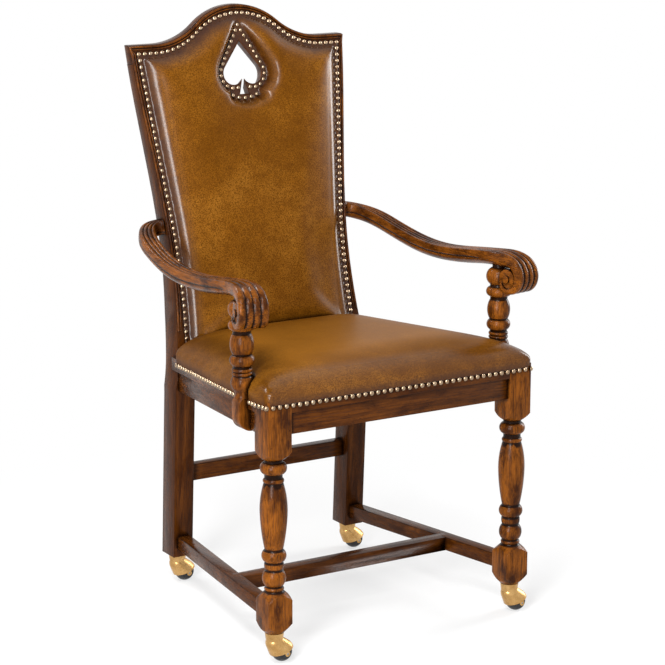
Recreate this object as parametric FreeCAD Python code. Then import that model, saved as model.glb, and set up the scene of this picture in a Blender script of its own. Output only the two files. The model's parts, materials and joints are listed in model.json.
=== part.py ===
import FreeCAD, Part
import math
import os

from FreeCAD import Matrix, Placement, Vector

# High back armchair on casters, in millimetres, +Z up, front towards -Y.
# While it is drawn, y = 0 is the axis of the front legs, x = 0 the middle and z = 0 the floor.

# Driving sizes of the frame
FRONT_LEG_X = 260.0
FRONT_LEG_SIDE = 48.0
REAR_LEG_OUTER_X = 220.0
REAR_LEG_WIDTH = 42.0
REAR_LEG_DEPTH = 49.0
BEND_Y = 443.0
BEND_Z = 424.0
LEG_RAKE = math.radians(3.4)
BACK_RAKE = math.radians(12.0)
TAPER_RISE = 121.0
CREST_DEPTH = 19.0
WAIST_X = 200.4
WAIST_Z = 640.0
CREST_CORNER_X = 239.5
CREST_CORNER_Z = 1058.0
CREST_RISE = 68.0
CREST_ARCH_X = 185.0
CREST_HEIGHT = 36.0

# Driving sizes of the seat
SEAT_FRONT_Z = 492.0
SEAT_SLOPE = 0.055
RAIL_HEIGHT = 65.0
RAIL_THICKNESS = 31.0
RAIL_REBATE = 6.0
RAIL_STRIP = 25.0
DECK_THICKNESS = 12.0
LEATHER = 2.0
SKIRT = 19.0
NAIL_DROP = 11.0
SEAT_CORNER = 4.0
SEAT_CROWN = 46.0
SEAT_ROLL = 130.0
SEAT_SOFTNESS = 1.45

# Driving sizes of the back
LOWER_RAIL_LIFT = 3.7
LOWER_RAIL_HEIGHT = 42.0
BOARD_THICKNESS = 8.0
BOARD_LAP = 8.0
NAIL_REVEAL = 17.0
WAIST_REVEAL = 15.2
PAD_FOOT = 6.0
PAD_FOOT_FLARE = 3.8
PAD_CROWN = 30.0
PAD_ROLL = 80.0
PAD_SOFTNESS = 1.0
PAD_MARGIN = 8.0
BAND = 6.0

# Driving sizes of the spade opening
SPADE_DROP = 71.0
SPADE_NAIL_DROP = 40.0
LOBE_X = 21.0
LOBE_DROP = 62.0
LOBE_RADIUS = 21.5
STEM_NECK_X = 2.5
STEM_FOOT_X = 10.5
STEM_DROP = 102.0
SPADE_NAIL_GAP = 7.0
SPADE_LINER = 1.6
SPADE_SPREAD = 0.24

# Driving sizes of arms and posts
ARM_SPLAY = math.radians(12.0)
ARM_POST_Y = 76.0
ARM_POST_OUTSET = 3.0
ARM_THICKNESS = 30.0
ARM_UNDERSIDE_Z = 661.0
SCROLL_REACH = 40.0
SCROLL_DROP = 20.0
POST_BLOCK = 28.0
POST_BLOCK_DROP = 14.5
POST_BLOCK_HEIGHT = 53.0
POST_RADIUS = 21.5

# Driving sizes of the stretchers
STRETCHER_WIDTH = 26.0
STRETCHER_HEIGHT = 27.0
STRETCHER_FRONT_RISE = 37.5
STRETCHER_REAR_RISE = 30.0
CENTRE_STRETCHER_Y = 183.0
REAR_STRETCHER_Z = 223.5
REAR_STRETCHER_HEIGHT = 33.0
REAR_STRETCHER_WIDTH = 22.0

# Driving sizes of the casters
WHEEL_RADIUS = 19.0
WHEEL_HALF_WIDTH = 14.5
WHEEL_GAP = 2.0
HOOD_WALL = 2.0
CASTER_NECK = 20.0
HOOD_TILT = math.radians(20.0)
HOOD_RIM_RISE = 3.0
NECK_RADIUS = 17.5
NECK_TAPER = 2.5
HEEL_RADIUS = 16.5
HEEL_DROP = 20.0
CASTER_TRAIL = 15.0
AXLE_EAR = 3.0
STEM_RADIUS = 4.5
STEM_IN_LEG = 30.0
STEM_IN_NECK = 12.0
SOCKET_WALL = 1.8
SOCKET_FLANGE = 12.0
SOCKET_FLANGE_THICKNESS = 1.5
AXLE_RADIUS = 2.0

# Fits and fasteners
FIT = 0.1
RUNNING = 0.08
GAP = 0.3
CASTER_GAP = 0.6
TENON_LENGTH = 22.0
TENON_THICKNESS = 10.0
STRETCHER_TENON = 15.0
NAIL_RADIUS = 4.6
NAIL_DOME = 3.2
NAIL_SHANK_RADIUS = 0.9
NAIL_SHANK_LENGTH = 11.0
BACK_NAIL_PITCH = 12.6
SEAT_NAIL_PITCH = 13.6
SCREW_RADIUS = 2.2
SCREW_HEAD_RADIUS = 4.4
SCREW_HEAD_HEIGHT = 2.6
CORNER_BLOCK = 80.0
CORNER_BLOCK_HEIGHT = 40.0
REAR_RAIL_THICKNESS = 22.0

CROWN_ANGLES = (0, 18, 36, 54, 72, 88)
FAR = 2000.0
UP = Vector(0, 0, 1)


# Basic shapes

def box(x0, x1, y0, y1, z0, z1):
    return Part.makeBox(x1 - x0, y1 - y0, z1 - z0, Vector(x0, y0, z0))


def prism(points, along):
    return Part.Face(Part.makePolygon(points + points[:1])).extrude(along)


def cylinder(radius, start, end):
    return Part.makeCylinder(radius, (end - start).Length, start, end - start)


def mirrored(shape):
    return shape.mirror(Vector(0, 0, 0), Vector(1, 0, 0))


def line(start, end):
    return Part.LineSegment(start, end).toShape()


def arc(start, middle, end):
    return Part.Arc(start, middle, end).toShape()


def beam(start, end, width, height):
    """Square bar from start to end, with upright sides."""
    along = (end - start).normalize()
    across = UP.cross(along).normalize()
    rise = along.cross(across)
    bar = Part.makeBox((end - start).Length, width, height, Vector(0, -width / 2, -height / 2))
    bar.Placement = Placement(Matrix(along.x, across.x, rise.x, start.x,
                                     along.y, across.y, rise.y, start.y,
                                     along.z, across.z, rise.z, start.z, 0, 0, 0, 1))
    return bar


def rounded_wire(corners):
    """Closed wire through (point, radius) corners; a radius of 0 keeps the corner sharp."""
    spans = []
    for index, (point, radius) in enumerate(corners):
        before = (corners[index - 1][0] - point).normalize()
        after = (corners[(index + 1) % len(corners)][0] - point).normalize()
        half = before.getAngle(after) / 2
        reach = radius / math.tan(half)
        middle = point + (before + after).normalize() * (radius / math.sin(half) - radius)
        spans.append((point + before * reach, middle, point + after * reach, radius))
    edges = []
    for index, (start, middle, end, radius) in enumerate(spans):
        if radius > 0:
            edges.append(arc(start, middle, end))
        edges.append(line(end, spans[(index + 1) % len(spans)][0]))
    return Part.Wire(edges)


def turned(steps):
    """Solid of revolution about Z; each step is (middle radius or None, end radius, end height)."""
    radius, height = steps[0][1:]
    edges = [line(Vector(0, 0, height), Vector(radius, 0, height))]
    for middle, end_radius, end_height in steps[1:]:
        start = Vector(radius, 0, height)
        end = Vector(end_radius, 0, end_height)
        if middle is None:
            edges.append(line(start, end))
        else:
            edges.append(arc(start, Vector(middle, 0, (height + end_height) / 2), end))
        radius, height = end_radius, end_height
    edges.append(line(Vector(radius, 0, height), Vector(0, 0, height)))
    edges.append(line(Vector(0, 0, height), Vector(0, 0, steps[0][2])))
    return Part.Face(Part.Wire(edges)).revolve(Vector(0, 0, 0), UP, 360)


def cut_all(shape, tools):
    for tool in tools:
        shape = shape.cut(tool)
    return shape


# Planes that the pieces share

def back_y(z):
    """Front plane of the back at height z."""
    return BEND_Y + math.tan(BACK_RAKE) * (z - BEND_Z)


def leg_y(z):
    """Front face of a rear leg below the bend."""
    return BEND_Y + math.tan(LEG_RAKE) * (BEND_Z - z)


def back_point(x, z, height=0.0):
    """Point of the back's front plane, lifted by height towards the sitter."""
    return Vector(x, back_y(z) - height * math.cos(BACK_RAKE), z + height * math.sin(BACK_RAKE))


def seat_z(y):
    """Top of the seat frame at depth y."""
    return SEAT_FRONT_Z - SEAT_SLOPE * (y + FRONT_LEG_SIDE / 2)


def side_x(y):
    """Outer face of a side rail at depth y."""
    front = FRONT_LEG_SIDE / 2
    return SEAT_FRONT_X + (REAR_LEG_OUTER_X - SEAT_FRONT_X) * (y - front) / (BEND_Y - front)


def rear_y(z):
    """Rear face of the back frame at height z."""
    if z < TAPER_Z:
        return back_y(z) + REAR_LEG_DEPTH
    low = back_y(TAPER_Z) + REAR_LEG_DEPTH
    high = back_y(BACK_TOP_Z) + CREST_DEPTH
    return low + (high - low) * (z - TAPER_Z) / (BACK_TOP_Z - TAPER_Z)


HOOD_RADIUS = WHEEL_RADIUS + WHEEL_GAP + HOOD_WALL
LEG_END_Z = 2 * WHEEL_RADIUS + CASTER_NECK
TAPER_Z = BEND_Z + TAPER_RISE
SEAT_FRONT_X = FRONT_LEG_X + FRONT_LEG_SIDE / 2
SEAT_FRONT_Y = -FRONT_LEG_SIDE / 2
SEAT_REAR_Y = BEND_Y - GAP
FRONT_LEG_INNER_X = FRONT_LEG_X - FRONT_LEG_SIDE / 2
FRONT_RAIL_REAR_Y = SEAT_FRONT_Y + RAIL_THICKNESS
REAR_RAIL_Y = BEND_Y + (REAR_LEG_DEPTH - REAR_RAIL_THICKNESS) / 2 - 4
REAR_LEG_X = REAR_LEG_OUTER_X - REAR_LEG_WIDTH / 2
REAR_LEG_INNER_X = REAR_LEG_OUTER_X - REAR_LEG_WIDTH
REAR_LEG_END_Y = leg_y(LEG_END_Z) + REAR_LEG_DEPTH / 2
BACK_TOP_Z = CREST_CORNER_Z + CREST_RISE
STILE_TOP_Z = CREST_CORNER_Z - CREST_HEIGHT
LOWER_RAIL_Z = seat_z(BEND_Y) + DECK_THICKNESS + LOWER_RAIL_LIFT
PAD_BOTTOM_Z = LOWER_RAIL_Z + PAD_FOOT
PAD_WAIST_X = WAIST_X - WAIST_REVEAL
PAD_CORNER_X = CREST_CORNER_X - NAIL_REVEAL
SPADE_TIP_Z = BACK_TOP_Z - SPADE_DROP
SPADE_NAIL_TIP_Z = BACK_TOP_Z - SPADE_NAIL_DROP
LOBE_Z = SPADE_TIP_Z - LOBE_DROP
STEM_FOOT_Z = SPADE_TIP_Z - STEM_DROP
ARM_POST_X = side_x(ARM_POST_Y) + ARM_POST_OUTSET
POST_BLOCK_TOP_Z = seat_z(ARM_POST_Y) - POST_BLOCK_DROP
POST_BLOCK_END_Z = POST_BLOCK_TOP_Z - POST_BLOCK_HEIGHT


# Frame of the back

def back_slab():
    """Everything between the front and rear faces of the rear legs and the crest."""
    top = BACK_TOP_Z + 1
    corners = [(leg_y(LEG_END_Z), LEG_END_Z, 0), (BEND_Y, BEND_Z, 0), (back_y(top), top, 0),
               (rear_y(top), top, 0), (rear_y(TAPER_Z), TAPER_Z, 0), (BEND_Y + REAR_LEG_DEPTH, BEND_Z, 300),
               (leg_y(LEG_END_Z) + REAR_LEG_DEPTH, LEG_END_Z, 0)]
    wire = rounded_wire([(Vector(-FAR / 2, y, z), radius) for y, z, radius in corners])
    return Part.Face(wire).extrude(Vector(FAR, 0, 0))


def stile_curve(shift):
    """Outer edge of a stile in the front view, moved inwards by shift."""
    straight_z = BEND_Z - 20
    flare_z = CREST_CORNER_Z - WAIST_Z
    points = [(REAR_LEG_OUTER_X, straight_z),
              (WAIST_X + 0.13 * (REAR_LEG_OUTER_X - WAIST_X), WAIST_Z - 82),
              (WAIST_X, WAIST_Z),
              (WAIST_X + 0.43 * (CREST_CORNER_X - WAIST_X), WAIST_Z + 0.5 * flare_z),
              (CREST_CORNER_X, CREST_CORNER_Z)]
    curve = Part.BSplineCurve()
    curve.interpolate([Vector(x - shift, 0, z) for x, z in points])
    return curve


def stile_x(z):
    """Outer edge of the right stile at height z."""
    curve = stile_curve(0)
    low, high = curve.FirstParameter, curve.LastParameter
    for step in range(40):
        middle = (low + high) / 2
        if curve.value(middle).z < z:
            low = middle
        else:
            high = middle
    return curve.value(low).x


def stile_outline():
    """Front view of one rear leg with its stile."""
    outer = stile_curve(0)
    inner = stile_curve(REAR_LEG_WIDTH)
    foot_outer = Vector(REAR_LEG_OUTER_X, 0, LEG_END_Z)
    foot_inner = Vector(REAR_LEG_INNER_X, 0, LEG_END_Z)
    return Part.Wire([line(foot_inner, foot_outer), line(foot_outer, outer.StartPoint), outer.toShape(),
                      line(outer.EndPoint, inner.EndPoint), inner.toShape(),
                      line(inner.StartPoint, foot_inner)])


def back_envelope():
    """Front view of the whole back between the outer edges of its stiles."""
    right = stile_curve(0)
    left = mirrored(right.toShape())
    low = right.StartPoint
    high = right.EndPoint
    top = Vector(high.x, 0, BACK_TOP_Z + 1)
    wire = Part.Wire([right.toShape(), line(high, top), line(top, Vector(-top.x, 0, top.z)),
                      line(Vector(-top.x, 0, top.z), Vector(-high.x, 0, high.z)), left,
                      line(Vector(-low.x, 0, low.z), low)])
    return Part.Face(wire).extrude(Vector(0, FAR, 0))


def crest_arcs(drop, place):
    """Arched line of the crest, lowered by drop, from -CREST_ARCH_X to +CREST_ARCH_X."""
    low = CREST_CORNER_Z - drop
    radius = (CREST_ARCH_X ** 2 + CREST_RISE ** 2) / (4 * CREST_RISE)
    turn = math.asin(CREST_ARCH_X / 2 / radius)
    inner_x = CREST_ARCH_X / 2
    inner_z = low + CREST_RISE / 2
    hollow_x = CREST_ARCH_X - radius * math.sin(turn / 2)
    hollow_z = low + radius * (1 - math.cos(turn / 2))
    return [arc(place(-CREST_ARCH_X, low), place(-hollow_x, hollow_z), place(-inner_x, inner_z)),
            arc(place(-inner_x, inner_z), place(0, low + CREST_RISE), place(inner_x, inner_z)),
            arc(place(inner_x, inner_z), place(hollow_x, hollow_z), place(CREST_ARCH_X, low))]


def flat_place(x, z):
    return Vector(x, 0, z)


def crest_blank():
    """Arched band of the crest before it meets the stiles."""
    wide = FAR / 4
    edges = []
    for drop in (0, CREST_HEIGHT):
        low = CREST_CORNER_Z - drop
        edges += crest_arcs(drop, flat_place)
        edges.append(line(Vector(-wide, 0, low), Vector(-CREST_ARCH_X, 0, low)))
        edges.append(line(Vector(CREST_ARCH_X, 0, low), Vector(wide, 0, low)))
    for x in (-wide, wide):
        edges.append(line(Vector(x, 0, CREST_CORNER_Z), Vector(x, 0, STILE_TOP_Z)))
    wire = Part.Wire(Part.sortEdges(edges)[0])
    return Part.Face(wire).extrude(Vector(0, FAR, 0))


def stile_tenon(grow):
    """Tenon on top of the right stile."""
    x = CREST_CORNER_X - REAR_LEG_WIDTH / 2
    y = back_y(STILE_TOP_Z) + CREST_DEPTH / 2
    return box(x - 10 - grow, x + 10 + grow, y - 2 - grow, y + 5 + grow,
               STILE_TOP_Z - 4, STILE_TOP_Z + 20 + grow)


def rear_leg_blank(slab):
    leg = Part.Face(stile_outline()).extrude(Vector(0, FAR, 0)).common(slab)
    leg = leg.cut(box(0, FAR, 0, FAR, STILE_TOP_Z, FAR))
    return leg.fuse(stile_tenon(0)).removeSplitter()


def board_outline(lap):
    """Back board in the front view: the opening of the frame, widened by lap."""
    inner = stile_curve(REAR_LEG_WIDTH - lap)
    left = mirrored(inner.toShape())
    low = Vector(inner.StartPoint)
    high = Vector(inner.EndPoint)
    top = Vector(high.x, 0, BACK_TOP_Z)
    wire = Part.Wire([inner.toShape(), line(high, top), line(top, Vector(-top.x, 0, top.z)),
                      line(Vector(-top.x, 0, top.z), Vector(-high.x, 0, high.z)), left,
                      line(Vector(-low.x, 0, low.z), low)])
    face = Part.Face(wire).extrude(Vector(0, FAR, 0))
    band = crest_blank()
    band.translate(Vector(0, 0, lap))
    below = box(-FAR, FAR, 0, FAR, 0, LOWER_RAIL_Z + LOWER_RAIL_HEIGHT - lap)
    above = box(-FAR, FAR, 0, FAR, BACK_TOP_Z - CREST_HEIGHT + lap, FAR)
    pieces = face.cut(band).cut(below).cut(above).Solids
    return min(pieces, key=lambda piece: piece.BoundBox.ZMin)


def back_layer(near, far):
    """Layer behind the front plane of the back, from depth near to depth far."""
    low = LEG_END_Z
    high = BACK_TOP_Z + 60
    points = [Vector(-FAR / 2, back_y(z) + depth, z)
              for z, depth in ((low, near), (high, near), (high, far), (low, far))]
    return prism(points, Vector(FAR, 0, 0))


# Spade opening

def lobe_points(radius, tip_z, end):
    """Tip, then start, middle and end of the right lobe's arc, as (x, z) in the front view."""
    rise = tip_z - LOBE_Z
    start = math.atan2(rise, -LOBE_X) - math.acos(radius / math.hypot(LOBE_X, rise))
    angles = (start, (start + end) / 2, end)
    return [(0, tip_z)] + [(LOBE_X + radius * math.cos(a), LOBE_Z + radius * math.sin(a)) for a in angles]


def spade_wire(grow, height):
    """Outline of the spade opening, widened by grow, at height above the back's front plane."""
    radius = LOBE_RADIUS + grow
    end = -math.acos((STEM_NECK_X + 1.6 * grow - LOBE_X) / radius)
    right = lobe_points(radius, SPADE_TIP_Z + 1.5 * grow, end)
    right.append((STEM_FOOT_X + grow, STEM_FOOT_Z - grow))
    p = [back_point(x, z, height) for x, z in right]
    q = [back_point(-x, z, height) for x, z in right]
    return Part.Wire([line(p[0], p[1]), arc(p[1], p[2], p[3]), line(p[3], p[4]), line(p[4], q[4]),
                      line(q[4], q[3]), arc(q[3], q[2], q[1]), line(q[1], q[0])])


def spade_ring(gap, height):
    """Rounded outline at gap outside the opening's lobes, as the padding is drawn in around it."""
    right = lobe_points(LOBE_RADIUS + gap, SPADE_NAIL_TIP_Z + gap - SPADE_NAIL_GAP, -math.radians(50))
    p = [back_point(x, z, height) for x, z in right]
    q = [back_point(-x, z, height) for x, z in right]
    foot = back_point(0, STEM_FOOT_Z - gap, height)
    return Part.Wire([line(p[0], p[1]), arc(p[1], p[2], p[3]), arc(p[3], foot, q[3]),
                      arc(q[3], q[2], q[1]), line(q[1], q[0])])


def spade_plug(grow):
    """Bar with the opening's section through the whole back, which widens behind the front plane."""
    depth = 1.2 * REAR_LEG_DEPTH
    ahead = back_point(0, 0, 2 * PAD_CROWN) - back_point(0, 0, 0)
    front = Part.Face(spade_wire(grow, 0)).extrude(ahead)
    rear = Part.makeLoft([spade_wire(grow, 0), spade_wire(grow + SPADE_SPREAD * depth, -depth)], True, True)
    return front.fuse(rear)


def spade_nail_paths(height):
    """Lines of nails around the opening: right side, left side and below the stem."""
    right = lobe_points(LOBE_RADIUS + SPADE_NAIL_GAP, SPADE_NAIL_TIP_Z, -math.radians(105))
    paths = []
    for side in (1, -1):
        p = [back_point(side * x, z, height) for x, z in right]
        paths.append(Part.Wire([line(p[0], p[1]), arc(p[1], p[2], p[3])]))
    foot_z = STEM_FOOT_Z - SPADE_NAIL_GAP - 1
    foot_x = LOBE_X + 6
    foot = [(-foot_x, foot_z + 6), (0, foot_z), (foot_x, foot_z + 6)]
    paths.append(Part.Wire([arc(*[back_point(x, z, height) for x, z in foot])]))
    return paths


# Upholstery of the back

def drawn_in(x, z, margin):
    """Point of the front view, drawn in by margin towards the middle of the padding."""
    top = BACK_TOP_Z - NAIL_REVEAL
    middle = (PAD_BOTTOM_Z + top) / 2
    return x * (1 - margin / PAD_WAIST_X), middle + (z - middle) * (1 - margin / (top - middle))


def pad_place(margin, height):
    """Map from the front view to the back's plane, drawn in by margin and lifted to height."""

    def place(x, z):
        return back_point(*drawn_in(x, z, margin), height)

    return place


def rear_place(x, z):
    """Nail line of the outside back in the front view, one band inside the edge of its leather."""
    x, z = drawn_in(x, z, BAND)
    return Vector(x, 0, z)


def pad_edges(place):
    """Edges of the nail line of the back: bottom, two arcs a side, shoulders and crest."""
    top = CREST_CORNER_Z - NAIL_REVEAL
    knee_x = PAD_WAIST_X + 0.22 * (PAD_CORNER_X - PAD_WAIST_X)
    flank_x = PAD_WAIST_X + 0.62 * (PAD_CORNER_X - PAD_WAIST_X)
    rows = [(PAD_WAIST_X + PAD_FOOT_FLARE, PAD_BOTTOM_Z), (PAD_WAIST_X, WAIST_Z - 36),
            (knee_x, WAIST_Z + 112), (flank_x, WAIST_Z + 260), (PAD_CORNER_X, top)]
    p = [place(x, z) for x, z in rows]
    q = [place(-x, z) for x, z in rows]
    crest = crest_arcs(NAIL_REVEAL, place)
    right_shoulder = line(p[4], place(CREST_ARCH_X, top))
    left_shoulder = line(place(-CREST_ARCH_X, top), q[4])
    upper = [arc(p[0], p[1], p[2]), arc(p[2], p[3], p[4]), right_shoulder] + crest[::-1]
    upper += [left_shoulder, arc(q[4], q[3], q[2]), arc(q[2], q[1], q[0])]
    return upper, line(q[0], p[0])


def pad_wire(margin, height):
    upper, bottom = pad_edges(pad_place(margin, height))
    return Part.Wire(upper + [bottom])


def crown(reach, height, softness):
    """Steps of a crowned pad, as (inset, height) pairs; a softness of 1 is a quarter of an ellipse."""
    angles = [math.radians(angle) for angle in CROWN_ANGLES]
    return [(reach * (1 - math.cos(angle)), height * math.sin(angle) ** softness) for angle in angles]


def pad_loft(thicker):
    """Crowned padding of the back, grown by thicker; it stands on the back's front plane."""
    wires = [pad_wire(PAD_MARGIN + inset - thicker, height + (thicker if height else 0))
             for inset, height in crown(PAD_ROLL, PAD_CROWN, PAD_SOFTNESS)]
    return Part.makeLoft(wires, True, False)


def spade_funnel(gap, floor):
    """Hollow in the padding around the opening, above height floor."""
    rim = PAD_CROWN + 10
    return Part.makeLoft([spade_ring(gap, floor), spade_ring(gap + 16, rim)], True, True)


def back_foam():
    gap = SPADE_NAIL_GAP + BAND
    return pad_loft(0).cut(spade_funnel(gap + LEATHER, -1))


def back_leather(foam):
    gap = SPADE_NAIL_GAP + BAND
    lift = back_point(0, 0, LEATHER) - back_point(0, 0, 0)
    band = Part.Face(pad_wire(-BAND, 0)).extrude(lift)
    cover = pad_loft(LEATHER).fuse(band).cut(spade_funnel(gap, LEATHER))
    return cover.cut(foam).cut(spade_plug(SPADE_LINER + FIT))


def rear_leather(slab):
    """Flat cover of the outside back."""
    upper, bottom = pad_edges(flat_place)
    outline = Part.Face(Part.Wire(upper + [bottom])).extrude(Vector(0, FAR, 0))
    sheet = slab.translated(Vector(0, LEATHER, 0)).cut(slab)
    return sheet.common(outline).cut(spade_plug(SPADE_LINER + FIT))


def spade_liner(slab):
    front = back_layer(-LEATHER / math.cos(BACK_RAKE), FAR / 2)
    rear = slab.translated(Vector(0, LEATHER, 0)).fuse(back_layer(-PAD_CROWN, LEATHER + 1))
    return spade_plug(SPADE_LINER).cut(spade_plug(0)).common(front).common(rear)


# Seat

def seat_place(x, y, grow, height):
    """Point of the seat's outline, moved outwards by grow, at height above the seat frame."""
    rear = SEAT_REAR_Y + 0.25 * min(grow, 0)
    front = SEAT_FRONT_Y - grow
    new_y = rear - (SEAT_REAR_Y - y) / (SEAT_REAR_Y - SEAT_FRONT_Y) * (rear - front)
    return Vector(x * (1 + grow / SEAT_FRONT_X), new_y, seat_z(new_y) + height)


def seat_wire(grow, height, corner=SEAT_CORNER):
    """Outline of the seat, moved outwards by grow, at height above the seat frame."""
    leg_back = -SEAT_FRONT_Y
    rear_x = side_x(SEAT_REAR_Y)
    soft = corner + 0.15 * max(-grow, 0)
    corners = [(-SEAT_FRONT_X, SEAT_FRONT_Y, soft), (SEAT_FRONT_X, SEAT_FRONT_Y, soft),
               (SEAT_FRONT_X, leg_back, 20), (rear_x, SEAT_REAR_Y, corner),
               (-rear_x, SEAT_REAR_Y, corner), (-SEAT_FRONT_X, leg_back, 20)]
    return rounded_wire([(seat_place(x, y, grow, height), radius) for x, y, radius in corners])


def seat_layer(low, high):
    """Everything between two heights above the seat frame's top."""
    points = [Vector(-FAR / 2, y, seat_z(y) + height)
              for y, height in ((-FAR, low), (FAR, low), (FAR, high), (-FAR, high))]
    return prism(points, Vector(FAR, 0, 0))


def seat_prism(grow, low, high, corner=SEAT_CORNER):
    return Part.Face(seat_wire(grow, low, corner)).extrude(UP * (high - low))


def seat_loft(thicker):
    """Crowned padding of the seat, grown by thicker; it stands on the deck."""
    wires = [seat_wire(thicker - inset, DECK_THICKNESS + height + (thicker if height else 0))
             for inset, height in crown(SEAT_ROLL, SEAT_CROWN, SEAT_SOFTNESS)]
    return Part.makeLoft(wires, True, False)


def post_room():
    """Space that the arm posts take beside the seat, with a gap around them."""
    half = POST_BLOCK / 2 + GAP
    x, y = ARM_POST_X, ARM_POST_Y
    block = box(x - half, x + half + FAR, y - half, y + half, 0, POST_BLOCK_TOP_Z + GAP)
    shaft = cylinder(POST_RADIUS + GAP, Vector(x, y, POST_BLOCK_TOP_Z), Vector(x, y, FAR))
    right = block.fuse(shaft)
    return [right, mirrored(right)]


def seat_deck(rear_rail_y):
    half = stile_x(seat_z(BEND_Y) + 2 * DECK_THICKNESS) - REAR_LEG_WIDTH - 1
    deck = seat_prism(-1, 0, DECK_THICKNESS)
    tongue = box(-half, half, SEAT_REAR_Y - 20, rear_rail_y, 0, FAR)
    tongue = tongue.common(seat_layer(0, DECK_THICKNESS))
    return cut_all(deck.fuse(tongue), post_room()).removeSplitter()


def seat_leather(rear_legs):
    """Cover of the seat: a crowned top and a skirt that is nailed to the rails."""
    inside = seat_prism(FIT, -SKIRT - 1, DECK_THICKNESS, 0)
    skirt = seat_prism(FIT + LEATHER, -SKIRT, DECK_THICKNESS)
    cover = skirt.fuse(seat_loft(FIT + LEATHER)).cut(inside).cut(seat_loft(0))
    rear = box(-side_x(SEAT_REAR_Y) + 12, side_x(SEAT_REAR_Y) - 12, SEAT_REAR_Y - 12, FAR, 0, FAR)
    rear = rear.common(seat_layer(-FAR / 4, DECK_THICKNESS))
    cover = cover.cut(rear)
    gaps = [leg.translated(Vector(0, -GAP, 0)) for leg in rear_legs]
    return cut_all(cover, post_room() + gaps)


def rail_plan(outer, inner):
    """Plan of the right side rail between two insets from its outer face."""
    y0 = FRONT_LEG_SIDE / 2
    y1 = BEND_Y + REAR_LEG_DEPTH / 2
    return prism([Vector(side_x(y0) - outer, y0, 0), Vector(side_x(y1) - outer, y1, 0),
                  Vector(side_x(y1) - inner, y1, 0), Vector(side_x(y0) - inner, y0, 0)],
                 UP * FAR)


def rebated(full, thin):
    """Rail with a thick strip above, where the leather is nailed, and a thinner board below."""
    strip = full.common(seat_layer(-RAIL_STRIP, 0))
    return strip.fuse(thin.common(seat_layer(-RAIL_HEIGHT, -RAIL_STRIP))).removeSplitter()


# Turned work: steps of (middle radius or None, end radius, height), and the height they are drawn for

LEG_DRAWN = 434.0
LEG_TURNING = ((None, 38, 440), (None, 38, 343), (30, 17, 322), (None, 17, 318), (24.4, 17.5, 296),
               (None, 16.5, 294), (None, 16.5, 288), (19.2, 17.5, 280), (23.6, 25.1, 225), (22.6, 17, 157),
               (None, 17.5, 155), (22.6, 16.8, 133), (17.8, 16, 117), (21.7, 16.2, 88), (None, 16, 86),
               (18, 16, 79), (27.5, 38, 58), (None, 38, 24), (29, 17.5, 0))
POST_DRAWN = 189.0
POST_NECK = 8.0
POST_TURNING = ((None, 13, 204), (None, 13, 186), (24.6, 16.5, 153), (None, 17.5, 149), (24.4, 16.8, 130),
                (None, 16.4, 125), (21.9, 17.2, 86), (22.7, 17, 66), (None, 16.5, 62), (18.6, 16, 55),
                (18.6, 16, 48), (21, 15.5, 20), (13.5, 15, POST_NECK), (None, 20, -1), (None, 20, -80))


def turned_between(steps, drawn, low, high):
    """Turning that starts at height low, stretched from the height it is drawn for to end at high."""
    stretch = (high - low) / drawn
    return turned([(middle, radius, low + height * stretch) for middle, radius, height in steps])


def front_leg():
    """Right front leg: square blocks, with a turned shaft between them."""
    half = FRONT_LEG_SIDE / 2
    square = box(-half, half, -half, half, LEG_END_Z, SEAT_FRONT_Z)
    leg = square.common(turned_between(LEG_TURNING, LEG_DRAWN, LEG_END_Z, SEAT_FRONT_Z))
    leg.translate(Vector(FRONT_LEG_X, 0, 0))
    return leg.common(seat_layer(-FAR / 4, 0))


def arm_post():
    """Right arm post: turned shaft on a block whose outer lower corner is rounded."""
    half = POST_BLOCK / 2
    low = POST_BLOCK_END_Z
    high = POST_BLOCK_TOP_Z + POST_NECK
    corner = rounded_wire([(Vector(-half, -half, low), 0), (Vector(half, -half, low), POST_BLOCK - 3),
                           (Vector(half, -half, high), 0), (Vector(-half, -half, high), 0)])
    block = Part.Face(corner).extrude(Vector(0, POST_BLOCK, 0))
    shaft = turned_between(POST_TURNING, POST_DRAWN, POST_BLOCK_TOP_Z, ARM_UNDERSIDE_Z)
    upper = shaft.common(box(-FAR, FAR, -FAR, FAR, high, ARM_UNDERSIDE_Z + ARM_THICKNESS / 2))
    post = block.common(shaft).fuse(upper).removeSplitter()
    post.translate(Vector(ARM_POST_X, ARM_POST_Y, 0))
    return post


# Arms: a reeded bar that runs from the stile to the post and curls over into a scroll.
# Steps of the bar: share of the way out from stile to post, share of the way back from post to stile,
# height above the arm's underside at the post, and width.

ARM_PATH = ((-0.086, 1.0, 50, 30), (0.245, 1.016, 45, 31), (0.563, 0.96, 38, 33), (0.828, 0.8, 19, 35),
            (0.921, 0.582, 0, 37), (0.934, 0.369, -2, 39), (0.96, 0.189, 6, 43))
ARM_REEDS = 4
REED_DEPTH = 0.1
SIDE_BULGE = 0.03
SCROLL_START_RADIUS = 33.0
SCROLL_END_RADIUS = 13.0
SCROLL_END_THICKNESS = 10.0
SCROLL_WIDTH = 55.0
SCROLL_TURN = 240
SCROLL_CORE_RADIUS = 18.5
SCROLL_EYE_RADIUS = 7.0
ARM_ROOT_Z = ARM_UNDERSIDE_Z + ARM_PATH[0][2]


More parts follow.
